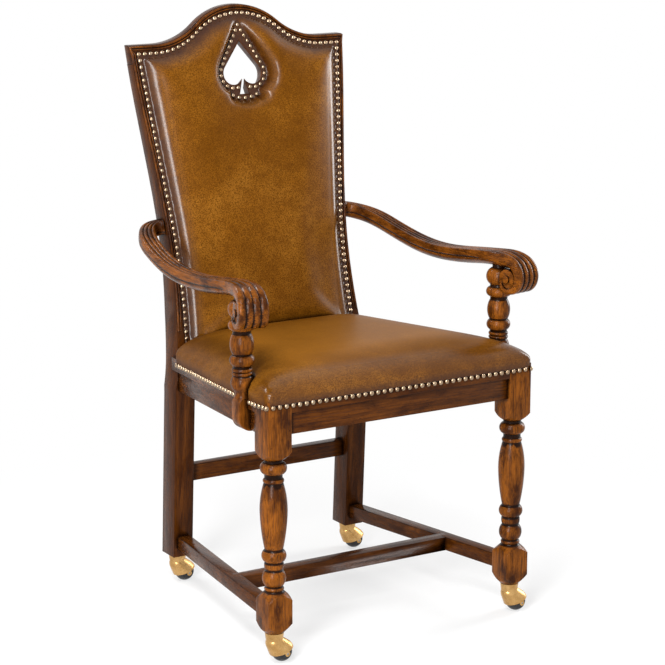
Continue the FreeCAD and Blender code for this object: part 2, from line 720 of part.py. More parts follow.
def arm_section(centre, side, rise, width, thickness):
    """Closed section of the arm: rounded below and at its sides, reeded on top."""
    shoulder = thickness / 2 - REED_DEPTH * thickness
    low = -0.15 * thickness
    waist = (low + shoulder) / 2
    half = width / 2 - SIDE_BULGE * thickness

    def at(a, b):
        return centre + side * a + rise * b

    edges = [arc(at(-half, low), at(0, -thickness / 2), at(half, low)),
             arc(at(half, low), at(width / 2, waist), at(half, shoulder))]
    reed = 2 * half / ARM_REEDS
    for index in range(ARM_REEDS):
        start = half - index * reed
        end = start - reed
        edges.append(arc(at(start, shoulder), at((start + end) / 2, thickness / 2), at(end, shoulder)))
    edges.append(arc(at(-half, shoulder), at(-width / 2, waist), at(-half, low)))
    return Part.Wire(edges)


def arm_bar_sections(over_post, scroll_top):
    """Sections of the arm from the stile to the post."""
    root_x = stile_x(ARM_ROOT_Z)
    root_y = back_y(ARM_ROOT_Z) + 0.42 * (rear_y(ARM_ROOT_Z) - back_y(ARM_ROOT_Z))
    points = [Vector(root_x + (ARM_POST_X - root_x) * out, ARM_POST_Y + (root_y - ARM_POST_Y) * back,
                     ARM_UNDERSIDE_Z + rise) for out, back, rise, width in ARM_PATH]
    points.append(over_post)
    widths = [step[3] for step in ARM_PATH] + [SCROLL_WIDTH - 7]
    curve = Part.BSplineCurve()
    curve.interpolate(points + [scroll_top])
    sections = []
    for point, width in zip(points, widths):
        along = curve.tangent(curve.parameter(point))[0]
        level = along.cross(UP).normalize()
        sections.append(arm_section(point, level, level.cross(along), width, ARM_THICKNESS))
    return sections


def scroll_sections(eye, ahead, side):
    """Sections of the arm around the eye of its scroll, from the top over the front."""
    sections = []
    for turn in range(0, SCROLL_TURN + 1, 30):
        share = turn / SCROLL_TURN
        angle = math.radians(90 - turn)
        out = ahead * math.cos(angle) + UP * math.sin(angle)
        radius = SCROLL_START_RADIUS + (SCROLL_END_RADIUS - SCROLL_START_RADIUS) * share
        thickness = ARM_THICKNESS + (SCROLL_END_THICKNESS - ARM_THICKNESS) * share
        width = min(SCROLL_WIDTH, SCROLL_WIDTH - 4 + turn / 15)
        sections.append(arm_section(eye + out * radius, side, out, width, thickness))
    return sections


def arm_blank():
    """Right arm before it is fitted to the stile and the post."""
    ahead = Vector(math.sin(ARM_SPLAY), -math.cos(ARM_SPLAY), 0)
    side = ahead.cross(UP)
    root = Vector(ARM_POST_X, ARM_POST_Y, ARM_UNDERSIDE_Z)
    eye = root + ahead * SCROLL_REACH - UP * SCROLL_DROP
    sections = arm_bar_sections(root + UP * (ARM_THICKNESS / 2), eye + UP * SCROLL_START_RADIUS)
    arm = Part.makeLoft(sections + scroll_sections(eye, ahead, side), True, False)
    middle = eye + UP * 2
    for radius, inset in ((SCROLL_CORE_RADIUS, 4), (SCROLL_EYE_RADIUS, 1)):
        half = side * (SCROLL_WIDTH / 2 - inset)
        arm = arm.fuse(cylinder(radius, middle - half, middle + half))
    return arm


# Casters, drawn about their swivel axis with the wheel trailing towards +X

def caster_boot(toe, heel):
    """Ball around the wheel and ball in the neck, joined by the cone that touches both."""
    along = toe - heel
    lean = (HOOD_RADIUS - HEEL_RADIUS) / along.Length
    turn = math.acos(lean)

    def arc(centre, radius, start, end):
        angles = (start, (start + end) / 2, end)
        return Part.Arc(*(Vector(centre - radius * math.cos(a), radius * math.sin(a), 0) for a in angles))

    heel_arc = arc(0, HEEL_RADIUS, 0, turn)
    toe_arc = arc(along.Length, HOOD_RADIUS, turn, math.pi)
    edges = [heel_arc.toShape(), Part.makeLine(heel_arc.EndPoint, toe_arc.StartPoint), toe_arc.toShape(),
             Part.makeLine(toe_arc.EndPoint, heel_arc.StartPoint)]
    boot = Part.Face(Part.Wire(edges)).revolve(Vector(0, 0, 0), Vector(1, 0, 0), 360)
    boot.Placement = Placement(heel, FreeCAD.Rotation(Vector(1, 0, 0), along))
    return boot


def caster(x, y):
    """Socket, stem, hood, axle and wheel of the caster under the leg end at x, y."""
    top = LEG_END_Z - CASTER_GAP
    hub = Vector(CASTER_TRAIL, 0, WHEEL_RADIUS)
    heel = UP * (top - HEEL_DROP)
    axis = Vector(0, 1, 0)
    stem = cylinder(STEM_RADIUS, UP * (top - STEM_IN_NECK), UP * (LEG_END_Z + STEM_IN_LEG))
    bore = cylinder(STEM_RADIUS + RUNNING, UP * 0, UP * (LEG_END_Z + STEM_IN_LEG + GAP))
    socket = socket_body(0).cut(bore)
    neck = Part.makeCone(NECK_RADIUS - NECK_TAPER, NECK_RADIUS, top - heel.z, heel)
    hood = caster_boot(hub, heel).fuse(neck)
    hood = hood.cut(Part.makeSphere(HOOD_RADIUS - HOOD_WALL, hub))
    slope = math.tan(HOOD_TILT)
    rim = [Vector(a, -FAR / 4, hub.z + HOOD_RIM_RISE + (a - hub.x) * slope) for a in (-FAR / 4, FAR / 4)]
    below = prism(rim + [Vector(FAR / 4, -FAR / 4, -FAR), Vector(-FAR / 4, -FAR / 4, -FAR)], axis * (FAR / 2))
    hood = hood.cut(below.cut(cylinder(AXLE_RADIUS + AXLE_EAR, hub - axis * FAR, hub + axis * FAR)))
    hood = hood.cut(cylinder(AXLE_RADIUS + FIT, hub - axis * HOOD_RADIUS, hub + axis * HOOD_RADIUS))
    hood = hood.cut(cylinder(STEM_RADIUS + FIT, UP * (top - STEM_IN_NECK), UP * LEG_END_Z))
    axle_half = axis * (HOOD_RADIUS - 0.8)
    axle = cylinder(AXLE_RADIUS, hub - axle_half, hub + axle_half)
    wheel_half = axis * WHEEL_HALF_WIDTH
    wheel = Part.makeSphere(WHEEL_RADIUS, hub).common(cylinder(FAR, hub - wheel_half, hub + wheel_half))
    wheel = wheel.cut(cylinder(AXLE_RADIUS + RUNNING, hub - wheel_half, hub + wheel_half))
    pieces = {"socket": socket, "stem": stem, "hood": hood, "axle": axle, "wheel": wheel}
    return {name: shape.translated(Vector(x, y, 0)) for name, shape in pieces.items()}


def socket_body(grow):
    """Outside of a caster socket about the swivel axis, or the hole for it in the leg."""
    radius = STEM_RADIUS + RUNNING + SOCKET_WALL + grow
    tube = cylinder(radius, UP * LEG_END_Z, UP * (LEG_END_Z + STEM_IN_LEG + 2 + grow))
    flange = cylinder(SOCKET_FLANGE + grow, UP * LEG_END_Z, UP * (LEG_END_Z + SOCKET_FLANGE_THICKNESS + grow))
    return tube.fuse(flange)


# Fasteners

def nail():
    """Domed nail with its head on the plane z = 0 and its shank below."""
    radius = (NAIL_RADIUS ** 2 + NAIL_DOME ** 2) / (2 * NAIL_DOME)
    ball = Part.makeSphere(radius, Vector(0, 0, NAIL_DOME - radius))
    head = ball.common(cylinder(FAR, Vector(0, 0, 0), UP * radius))
    return head.fuse(cylinder(NAIL_SHANK_RADIUS, UP * -NAIL_SHANK_LENGTH, Vector(0, 0, 0))).Solids[0]


def set_nail(point, out):
    placed = nail()
    placed.Placement = Placement(point, FreeCAD.Rotation(UP, out))
    return placed


def spread(path, pitch):
    """Points along a path at an even pitch near the one asked for."""
    return path.discretize(Number=max(2, round(path.Length / pitch) + 1))


def back_nails():
    upper = pad_edges(pad_place(0, LEATHER))[0]
    out = back_point(0, 0, 1) - back_point(0, 0, 0)
    return [set_nail(point, out) for point in spread(Part.Wire(upper), BACK_NAIL_PITCH)]


def spade_nails():
    out = back_point(0, 0, 1) - back_point(0, 0, 0)
    right, left, foot = spade_nail_paths(LEATHER)
    points = spread(right, BACK_NAIL_PITCH) + spread(left, BACK_NAIL_PITCH)[1:]
    return [set_nail(point, out) for point in points + spread(foot, BACK_NAIL_PITCH)]


def rear_nails():
    upper, bottom = pad_edges(rear_place)
    points = spread(Part.Wire(upper), 2 * BACK_NAIL_PITCH)
    points += spread(Part.Wire([bottom]), 2 * BACK_NAIL_PITCH)[1:-1]
    nails = []
    for point in points:
        slope = rear_y(point.z + 0.5) - rear_y(point.z - 0.5)
        place = Vector(point.x, rear_y(point.z) + LEATHER, point.z)
        nails.append(set_nail(place, Vector(0, 1, -slope)))
    return nails


def seat_nails():
    line_around = seat_wire(FIT + LEATHER, -NAIL_DROP)
    points = spread(line_around, SEAT_NAIL_PITCH)
    clear = POST_BLOCK / 2 + NAIL_RADIUS + GAP
    nails = []
    for index, point in enumerate(points[:-1]):
        ahead = points[index + 1] - points[index - 1]
        out = Vector(ahead.y, -ahead.x, 0).normalize()
        beside_post = abs(point.y - ARM_POST_Y) < clear
        if point.y < SEAT_REAR_Y - NAIL_RADIUS - 2 and not beside_post:
            nails.append(set_nail(point, out))
    return nails


def screw(head, tip):
    """Plain screw from the underside of its head to its tip."""
    along = (tip - head).normalize()
    return cylinder(SCREW_RADIUS, head, tip).fuse(
        cylinder(SCREW_HEAD_RADIUS, head - along * SCREW_HEAD_HEIGHT, head)).removeSplitter()


def screw_hole(head, tip):
    """Hole for a screw, with a way in for its head."""
    along = (tip - head).normalize()
    return cylinder(SCREW_RADIUS + FIT, head, tip + along * FIT).fuse(
        cylinder(SCREW_HEAD_RADIUS + FIT, head - along * 60, head))


def both_sides(shapes):
    return shapes + [mirrored(shape) for shape in shapes]


# Assembly: each function adds its pieces to the chair and cuts the pieces that they are let into.
# Pieces that come in pairs are held as the right one until all of them are cut.

def cut_from(chair, names, tools):
    for name in names:
        chair[name] = cut_all(chair[name], tools)


def fused(shape, pieces):
    for piece in pieces:
        shape = shape.fuse(piece)
    return shape.removeSplitter()


def lower_tenon(grow):
    """Tenon of the lower back rail's right end."""
    y = back_y(LOWER_RAIL_Z + LOWER_RAIL_HEIGHT / 2) + REAR_LEG_DEPTH / 2
    half = TENON_THICKNESS / 2 + grow
    end = REAR_LEG_INNER_X + 0.6 * TENON_LENGTH + grow
    margin = 0.25 * LOWER_RAIL_HEIGHT - grow
    return box(end - 2 * TENON_LENGTH, end, y - half, y + half,
               LOWER_RAIL_Z + margin, LOWER_RAIL_Z + LOWER_RAIL_HEIGHT - margin)


def add_back_frame(chair, slab):
    """Crest and lower rail between the stiles, and the board in their rebate."""
    envelope = back_envelope().common(slab)
    rail = box(-FAR / 2, FAR / 2, 0, FAR, LOWER_RAIL_Z, LOWER_RAIL_Z + LOWER_RAIL_HEIGHT)
    rail = cut_all(rail.common(envelope), both_sides([chair["rear_leg"]]))
    board = board_outline(BOARD_LAP).common(back_layer(0, BOARD_THICKNESS))
    room = board_outline(BOARD_LAP + FIT).common(back_layer(-1, BOARD_THICKNESS + FIT))
    chair["crest_rail"] = crest_blank().common(envelope)
    chair["lower_back_rail"] = fused(rail, both_sides([lower_tenon(0)]))
    chair["back_board"] = board.cut(spade_plug(SPADE_LINER + FIT))
    cut_from(chair, ["crest_rail"], both_sides([stile_tenon(FIT)]))
    cut_from(chair, ["rear_leg"], [lower_tenon(FIT)])
    cut_from(chair, ["crest_rail", "lower_back_rail", "rear_leg"], [room])


def rail_joints(grow):
    """Tenons of the right ends of the seat rails, as front, side front, side rear and rear."""
    set_in = RAIL_REBATE + (RAIL_THICKNESS - RAIL_REBATE) / 2
    y_front = SEAT_FRONT_Y + set_in
    x_front = SEAT_FRONT_X - set_in
    x_rear = REAR_LEG_OUTER_X - set_in
    y_rear = REAR_RAIL_Y + REAR_RAIL_THICKNESS / 2
    half = TENON_THICKNESS / 2 + grow
    tall = RAIL_HEIGHT / 4 + grow
    long = TENON_LENGTH + grow
    z_front = seat_z(0) - RAIL_HEIGHT * 0.6
    z_rear = seat_z(BEND_Y) - RAIL_HEIGHT * 0.6
    spans = [(FRONT_LEG_INNER_X - 4, FRONT_LEG_INNER_X + long - 1, y_front - half, y_front + half, z_front),
             (x_front - half, x_front + half, -SEAT_FRONT_Y - long, -SEAT_FRONT_Y + 4, z_front),
             (x_rear - half, x_rear + half, BEND_Y - 4, BEND_Y + long, z_rear),
             (REAR_LEG_INNER_X - 4, REAR_LEG_INNER_X + 0.8 * long, y_rear - half, y_rear + half, z_rear)]
    return [box(x0, x1, y0, y1, z - tall, z + tall) for x0, x1, y0, y1, z in spans]


def add_seat_rails(chair):
    inner = FRONT_LEG_INNER_X
    side = rebated(rail_plan(0, RAIL_THICKNESS), rail_plan(RAIL_REBATE, RAIL_THICKNESS))
    side = side.cut(chair["rear_leg"])
    front = rebated(box(-inner, inner, SEAT_FRONT_Y, FRONT_RAIL_REAR_Y, 0, FAR),
                    box(-inner, inner, SEAT_FRONT_Y + RAIL_REBATE, FRONT_RAIL_REAR_Y, 0, FAR))
    rear = box(-REAR_LEG_INNER_X, REAR_LEG_INNER_X, REAR_RAIL_Y, REAR_RAIL_Y + REAR_RAIL_THICKNESS, 0, FAR)
    rear = cut_all(rear.common(seat_layer(-RAIL_HEIGHT, 0)), both_sides([chair["rear_leg"]]))
    tenons = rail_joints(0)
    mortises = rail_joints(FIT)
    chair["front_seat_rail"] = fused(front, both_sides(tenons[:1]))
    chair["side_seat_rail"] = fused(side, tenons[1:3]).cut(post_room()[0])
    chair["rear_seat_rail"] = fused(rear, both_sides(tenons[3:]))
    cut_from(chair, ["front_leg"], mortises[:2])
    cut_from(chair, ["rear_leg"], mortises[2:])


def tenon_bar(start, end, height, grow):
    """Bar of tenon thickness that runs through a stretcher into its neighbours."""
    longer = (end - start).normalize() * grow
    return beam(start - longer, end + longer, TENON_THICKNESS + 2 * grow, height / 2 + 2 * grow)


def add_stretchers(chair):
    """Two side stretchers, the centre stretcher between them and the one between the rear legs."""
    rear_z = LEG_END_Z + STRETCHER_REAR_RISE
    foot = Vector(FRONT_LEG_X, -SEAT_FRONT_Y, LEG_END_Z + STRETCHER_FRONT_RISE)
    heel = Vector(REAR_LEG_X, leg_y(rear_z), rear_z)
    along = (heel - foot).normalize()
    side = beam(foot - along * 6, heel + along * 6, STRETCHER_WIDTH, STRETCHER_HEIGHT)
    side = cut_all(side, [chair["front_leg"], chair["rear_leg"]])
    ends = (foot - along * STRETCHER_TENON, heel + along * STRETCHER_TENON)
    side = fused(side, [tenon_bar(*ends, STRETCHER_HEIGHT, 0)])
    cut_from(chair, ["front_leg", "rear_leg"], [tenon_bar(*ends, STRETCHER_HEIGHT, FIT)])

    right = foot + (heel - foot) * ((CENTRE_STRETCHER_Y - foot.y) / (heel.y - foot.y))
    left = Vector(-right.x, right.y, right.z)
    centre = cut_all(beam(left, right, STRETCHER_WIDTH, STRETCHER_HEIGHT), both_sides([side]))
    into = Vector(STRETCHER_WIDTH / 2 - STRETCHER_TENON, 0, 0)
    chair["centre_stretcher"] = fused(centre, [tenon_bar(left + into, right - into, STRETCHER_HEIGHT, 0)])
    chair["side_stretcher"] = side.cut(tenon_bar(left + into, right - into, STRETCHER_HEIGHT, FIT))

    y = leg_y(REAR_STRETCHER_Z) + REAR_LEG_DEPTH / 2 + 4
    left, right = [Vector(x, y, REAR_STRETCHER_Z) for x in (-REAR_LEG_INNER_X, REAR_LEG_INNER_X)]
    into = Vector(TENON_LENGTH, 0, 0)
    rear = beam(left, right, REAR_STRETCHER_WIDTH, REAR_STRETCHER_HEIGHT)
    chair["rear_stretcher"] = fused(rear, [tenon_bar(left - into, right + into, REAR_STRETCHER_HEIGHT, 0)])
    cut_from(chair, ["rear_leg"], [tenon_bar(left - into, right + into, REAR_STRETCHER_HEIGHT, FIT)])


def post_dowel(grow):
    """Dowel on top of the right arm post."""
    low = Vector(ARM_POST_X, ARM_POST_Y, ARM_UNDERSIDE_Z - 8)
    return cylinder(8 + grow, low, low + UP * (ARM_THICKNESS - 8 + grow))


def add_arms(chair):
    """Arm and post of the right side, with the screws that hold them."""
    arm = arm_blank()
    chair["arm_post"] = fused(arm_post().cut(arm), [post_dowel(0)])
    chair["arm"] = arm.cut(chair["rear_leg"]).cut(post_dowel(FIT))
    head_x = side_x(ARM_POST_Y) - RAIL_THICKNESS + 6
    screws = []
    for share in (0.28, 0.6):
        z = POST_BLOCK_END_Z + share * POST_BLOCK_HEIGHT
        head, tip = Vector(head_x, ARM_POST_Y, z), Vector(ARM_POST_X + 6, ARM_POST_Y, z)
        cut_from(chair, ["side_seat_rail", "arm_post"], [screw_hole(head, tip)])
        screws.append(screw(head, tip))
    chair["arm_post_screws"] = both_sides(screws)

    y = (back_y(ARM_ROOT_Z) + rear_y(ARM_ROOT_Z)) / 2
    outer = stile_x(ARM_ROOT_Z)
    head, tip = Vector(outer - REAR_LEG_WIDTH + 8, y, ARM_ROOT_Z), Vector(outer + 16, y, ARM_ROOT_Z - 1)
    cut_from(chair, ["rear_leg", "arm"], [screw_hole(head, tip)])
    chair["arm_screws"] = both_sides([screw(head, tip)])


def corner_block(y, away):
    """Right corner block at the inner face y of the front or rear rail, and ends of its two screws."""
    inner_x = side_x(y) - RAIL_THICKNESS
    far_y = y + away * CORNER_BLOCK
    plan = [(inner_x, y), (inner_x - CORNER_BLOCK, y), (side_x(far_y) - RAIL_THICKNESS, far_y)]
    block = prism([Vector(x, plan_y, 0) for x, plan_y in plan], UP * FAR)
    block = block.common(seat_layer(-CORNER_BLOCK_HEIGHT - 6, -6))
    z = seat_z(y) - CORNER_BLOCK_HEIGHT / 2 - 6
    first_x = inner_x - 0.55 * CORNER_BLOCK
    second_y = y + away * 0.55 * CORNER_BLOCK
    second_x = side_x(second_y) - RAIL_THICKNESS
    ends = [(Vector(first_x, y + away * 12, z), Vector(first_x, y - away * 14, z)),
            (Vector(second_x - 12, second_y, z), Vector(second_x + 14, second_y, z))]
    return block, ends


def add_corner_blocks(chair):
    rails = ["side_seat_rail", "front_seat_rail", "rear_seat_rail"]
    blocks = []
    screws = []
    for y, away in ((FRONT_RAIL_REAR_Y, 1), (REAR_RAIL_Y, -1)):
        block, ends = corner_block(y, away)
        block = cut_all(block, [chair["front_leg"], chair["rear_leg"]])
        for head, tip in ends:
            hole = screw_hole(head, tip)
            block = block.cut(hole)
            cut_from(chair, rails, both_sides([hole]))
            screws.append(screw(head, tip))
        blocks.append(block)
    chair["corner_blocks"] = both_sides(blocks)
    chair["corner_block_screws"] = both_sides(screws)


def add_upholstery(chair, slab):
    rear_legs = both_sides([chair["rear_leg"]])
    front_legs = both_sides([chair["front_leg"]])
    foam = back_foam()
    chair["back_padding"] = foam
    chair["back_leather"] = back_leather(foam)
    chair["rear_leather"] = rear_leather(slab)
    chair["spade_liner"] = spade_liner(slab)
    chair["seat_deck"] = seat_deck(REAR_RAIL_Y + REAR_RAIL_THICKNESS)
    chair["seat_padding"] = cut_all(seat_loft(0), post_room())
    chair["seat_leather"] = seat_leather(rear_legs)
    dust = seat_prism(-RAIL_REBATE - 12, -RAIL_HEIGHT - 1, -RAIL_HEIGHT)
    chair["dust_cover"] = cut_all(dust, front_legs + rear_legs)
    chair["back_nails"] = back_nails()
    chair["spade_nails"] = spade_nails()
    chair["rear_nails"] = rear_nails()
    chair["seat_nails"] = seat_nails()


CASTER_PLACES = {"front_right": (FRONT_LEG_X, 0), "front_left": (-FRONT_LEG_X, 0),
                 "rear_right": (REAR_LEG_X, REAR_LEG_END_Y), "rear_left": (-REAR_LEG_X, REAR_LEG_END_Y)}
PAIRS = ("rear_leg", "front_leg", "side_seat_rail", "side_stretcher", "arm", "arm_post")


def build():
    """All nodes by name."""
    slab = back_slab()
    chair = {"rear_leg": rear_leg_blank(slab), "front_leg": front_leg()}
    add_back_frame(chair, slab)
    add_seat_rails(chair)
    add_stretchers(chair)
    add_arms(chair)
    for name, corner in (("front_leg", "front_right"), ("rear_leg", "rear_right")):
        cut_from(chair, [name], [socket_body(FIT).translated(Vector(*CASTER_PLACES[corner], 0))])
    add_corner_blocks(chair)
    add_upholstery(chair, slab)
    for name in PAIRS:
        shape = chair.pop(name)
        chair[name + "_right"] = shape
        chair[name + "_left"] = mirrored(shape)
    for corner, (x, y) in CASTER_PLACES.items():
        for piece, shape in caster(x, y).items():
            chair["caster_" + piece + "_" + corner] = shape
    return chair


def as_shape(value):
    if isinstance(value, list):
        return Part.makeCompound(value)
    return value.Solids[0] if len(value.Solids) == 1 else value


nodes = {name: as_shape(value) for name, value in build().items()}
whole = Part.makeCompound(list(nodes.values())).optimalBoundingBox(True, False)
shift = Vector(-whole.Center.x, -whole.Center.y, -whole.ZMin)
os.makedirs("parts", exist_ok=True)
for name, shape in nodes.items():
    shape.translated(shift).exportStep("parts/" + name + ".step")
    print(name, len(shape.Solids), round(shape.Volume), shape.isValid())
print("size", whole.XLength, whole.YLength, whole.ZLength, "shift", shift.x, shift.y, shift.z)
for corner, (x, y) in CASTER_PLACES.items():
    print("caster", corner, x + shift.x, y + shift.y, CASTER_TRAIL, WHEEL_RADIUS + shift.z)
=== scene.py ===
import json
import math

import bmesh
import bpy
import numpy as np
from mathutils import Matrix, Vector

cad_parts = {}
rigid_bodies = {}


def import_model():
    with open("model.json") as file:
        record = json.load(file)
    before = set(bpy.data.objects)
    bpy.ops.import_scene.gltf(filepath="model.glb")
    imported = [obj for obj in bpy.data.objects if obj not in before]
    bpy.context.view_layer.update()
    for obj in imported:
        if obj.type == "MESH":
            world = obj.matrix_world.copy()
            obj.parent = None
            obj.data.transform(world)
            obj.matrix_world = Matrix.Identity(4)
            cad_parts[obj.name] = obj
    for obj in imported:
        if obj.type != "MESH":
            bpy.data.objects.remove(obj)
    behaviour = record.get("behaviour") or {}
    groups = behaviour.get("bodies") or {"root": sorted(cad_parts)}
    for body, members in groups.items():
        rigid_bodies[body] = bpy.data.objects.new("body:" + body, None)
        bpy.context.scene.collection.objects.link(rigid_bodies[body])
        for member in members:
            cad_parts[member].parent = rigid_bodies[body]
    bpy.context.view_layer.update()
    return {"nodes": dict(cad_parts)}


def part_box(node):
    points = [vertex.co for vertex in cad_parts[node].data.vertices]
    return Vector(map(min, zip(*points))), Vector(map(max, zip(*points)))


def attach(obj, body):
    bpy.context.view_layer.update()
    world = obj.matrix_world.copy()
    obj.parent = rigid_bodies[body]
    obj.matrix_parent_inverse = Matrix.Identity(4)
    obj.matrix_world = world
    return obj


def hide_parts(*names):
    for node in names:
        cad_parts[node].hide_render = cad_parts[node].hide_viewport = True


# High back armchair, in metres: +Z up, the front towards -Y, +X to the right as seen from the front.

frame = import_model()
NODES = frame["nodes"]
SCENE = bpy.context.scene

# Sizes shared with the frame
MM = 0.001
ORIGIN_Y = -0.2915937
BACK_RAKE = math.radians(12)
BEND_Y = 0.443 + ORIGIN_Y
BEND_Z = 0.424
TAPER_Z = 0.545
BACK_TOP_Z = 1.126
LEG_DEPTH = 0.049
CREST_DEPTH = 0.019
SEAT_FRONT_X = 0.284
SEAT_REAR_X = 0.22
SEAT_FRONT_Y = -0.024 + ORIGIN_Y
LEG_BACK_Y = 0.024 + ORIGIN_Y
SEAT_REAR_Y = BEND_Y - 0.0003
SEAT_FRONT_Z = 0.492
SEAT_SLOPE = 0.055
DECK = 0.012
SKIRT = 0.0158
LEATHER = 0.002
NAIL_DROP = 0.011
POST_X = 0.27906
POST_Y = 0.076 + ORIGIN_Y
POST_ROOM = 0.0225
NAIL_RADIUS = 0.0046
NAIL_DOME = 0.0032
NAIL_TILT = 0.05


# Meshes

FAR = 9.0


def point_values(mesh, field):
    """Three numbers of each point of a mesh."""
    values = np.empty(len(mesh.vertices) * 3)
    mesh.vertices.foreach_get(field, values)
    return values.reshape(-1, 3)


def coordinates(mesh):
    return point_values(mesh, "co")


def point_normals(mesh):
    return point_values(mesh, "normal")


def edge_ends(mesh):
    """First and second point of each edge of a mesh."""
    ends = np.empty(len(mesh.edges) * 2, np.int64)
    mesh.edges.foreach_get("vertices", ends)
    return ends.reshape(-1, 2).T


def set_coordinates(mesh, points):
    mesh.vertices.foreach_set("co", np.asarray(points, float).ravel())
    mesh.update()


def new_piece(name, mesh):
    piece = bpy.data.objects.new(name, mesh)
    SCENE.collection.objects.link(piece)
    return piece


def mesh_of(name, points, faces=(), edges=()):
    mesh = bpy.data.meshes.new(name)
    mesh.from_pydata([tuple(point) for point in points], edges, faces)
    mesh.update()
    return mesh


def apply_modifiers(piece):
    """Gives a piece the mesh that its modifiers make, and removes them."""
    bpy.context.view_layer.update()
    graph = bpy.context.evaluated_depsgraph_get()
    old = piece.data
    made = bpy.data.meshes.new_from_object(piece.evaluated_get(graph))
    piece.modifiers.clear()
    piece.data = made
    bpy.data.meshes.remove(old)


def paint(piece, finish):
    piece.data.materials.clear()
    piece.data.materials.append(finish)


def set_attribute(mesh, name, values):
    """Point attribute of a mesh, a number or a vector for each point, which its material reads by name."""
    values = np.asarray(values, np.float32)
    kind, field = ("FLOAT_VECTOR", "vector") if values.ndim == 2 else ("FLOAT", "value")
    attribute = mesh.attributes.get(name) or mesh.attributes.new(name, kind, "POINT")
    attribute.data.foreach_set(field, values.ravel())


def step(values, low, high):
    """Smooth rise from 0 at low to 1 at high."""
    share = np.clip((np.asarray(values) - low) / (high - low), 0, 1)
    return share * share * (3 - 2 * share)


def nearest(points, places):
    """Distance of each point from the nearest place."""
    best = np.full(len(points), FAR)
    for place in places:
        best = np.minimum(best, np.linalg.norm(points - place, axis=1))
    return best


def path_distance(points, path):
    """Distance of each 2-D point from a closed path of straight runs."""
    best = np.full(len(points), FAR)
    for start, end in zip(path, np.roll(path, -1, axis=0)):
        run = end - start
        length = max(np.hypot(*run), 1e-9)
        share = np.clip((points - start) @ run / length ** 2, 0, 1)
        best = np.minimum(best, np.hypot(*(points - start - share[:, None] * run).T))
    return best


def inside(points, path):
    """Whether each 2-D point lies inside a closed path."""
    x, y = points.T
    found = np.zeros(len(x), bool)
    for (x0, y0), (x1, y1) in zip(path, np.roll(path, -1, axis=0)):
        if y0 != y1:
            crosses = (y0 > y) != (y1 > y)
            found ^= crosses & (x < (x1 - x0) * (y - y0) / (y1 - y0) + x0)
    return found


def signed_distance(points, path):
    """Distance from a closed path, positive inside it."""
    gap = path_distance(points, path)
    return np.where(inside(points, path), gap, -gap)


def band_faces(count, levels, bands):
    """Quads of bands between rings of count points; past the last ring comes the first."""
    faces = []
    for level in range(bands):
        low = level * count
        high = (level + 1) % levels * count
        for index in range(count):
            after = (index + 1) % count
            faces.append((low + index, low + after, high + after, high + index))
    return faces


def ring_solid(name, rings):
    """Closed mesh through rings of equal count, with a flat face at each end."""
    count, levels = len(rings[0]), len(rings)
    ends = [tuple(range(count)), tuple(range((levels - 1) * count, levels * count))]
    return outward(mesh_of(name, np.vstack(rings), ends + band_faces(count, levels, levels - 1)))


def ring_tube(name, rings):
    """Closed mesh through rings of equal count, the last of which joins the first."""
    count, levels = len(rings[0]), len(rings)
    return outward(mesh_of(name, np.vstack(rings), band_faces(count, levels, levels)))


def outward(mesh):
    """Turns the faces of a closed mesh outwards."""
    made = bmesh.new()
    made.from_mesh(mesh)
    bmesh.ops.recalc_face_normals(made, faces=made.faces)
    made.to_mesh(mesh)
    made.free()
    return mesh


def solids_of(node):
    """Points of each separate solid in a CAD node."""
    mesh = NODES[node].data
    corners = np.empty(len(mesh.loops), np.int64)
    mesh.loops.foreach_get("vertex_index", corners)
    unique, merged = np.unique(coordinates(mesh).round(6), axis=0, return_inverse=True)
    triangles = merged.reshape(-1)[corners].reshape(-1, 3)
    label = np.arange(len(unique))
    while True:
        lowest = label[triangles].min(axis=1)
        spread = label.copy()
        for corner in range(3):
            np.minimum.at(spread, triangles[:, corner], lowest)
        spread = spread[spread]
        if np.array_equal(spread, label):
            break
        label = spread
    return [unique[label == root] for root in np.unique(label)]


# Planes of the chair

def back_y(z):
    return BEND_Y + math.tan(BACK_RAKE) * (z - BEND_Z)


def rear_y(z):
    """Rear face of the back frame."""
    low = back_y(TAPER_Z) + LEG_DEPTH
    high = back_y(BACK_TOP_Z) + CREST_DEPTH
    tapered = low + (high - low) * (z - TAPER_Z) / (BACK_TOP_Z - TAPER_Z)
    return np.where(np.asarray(z) < TAPER_Z, back_y(np.asarray(z)) + LEG_DEPTH, tapered)


def on_back(flat, height):
    """Points at a height above the front plane of the back; flat holds (x, z) on that plane."""
    flat = np.asarray(flat)
    return np.column_stack([flat[:, 0], back_y(flat[:, 1]) - height * math.cos(BACK_RAKE),
                            flat[:, 1] + height * math.sin(BACK_RAKE)])


def off_back(points):
    """The (x, z) on the front plane of the back, and the height above it."""
    height = (back_y(points[:, 2]) - points[:, 1]) * math.cos(BACK_RAKE)
    return np.column_stack([points[:, 0], points[:, 2] - height * math.sin(BACK_RAKE)]), height


def seat_z(y):
    return SEAT_FRONT_Z - SEAT_SLOPE * (y - SEAT_FRONT_Y)


# Nails, which are set where the frame's nails are

def nail_places(node):
    """Foot of each nail's head and the way that it points."""
    feet, ways = [], []
    for points in solids_of(node):
        middle = points.mean(axis=0)
        far = points[np.argmax(np.linalg.norm(points - middle, axis=1))]
        rough = middle - far
        along = (points - middle) @ (rough / np.linalg.norm(rough))
        tip = points[along < along.min() + 0.6 * MM].mean(axis=0)
        way = (middle - tip) / np.linalg.norm(middle - tip)
        top = ((points - tip) @ way).max()
        feet.append(tip + way * (top - NAIL_DOME))
        ways.append(way)
    return np.array(feet), np.array(ways)


def around(points, centre):
    """Order of 2-D points by their angle about a centre, clockwise from straight down."""
    return np.argsort(np.arctan2(points[:, 0] - centre[0], points[:, 1] - centre[1]))


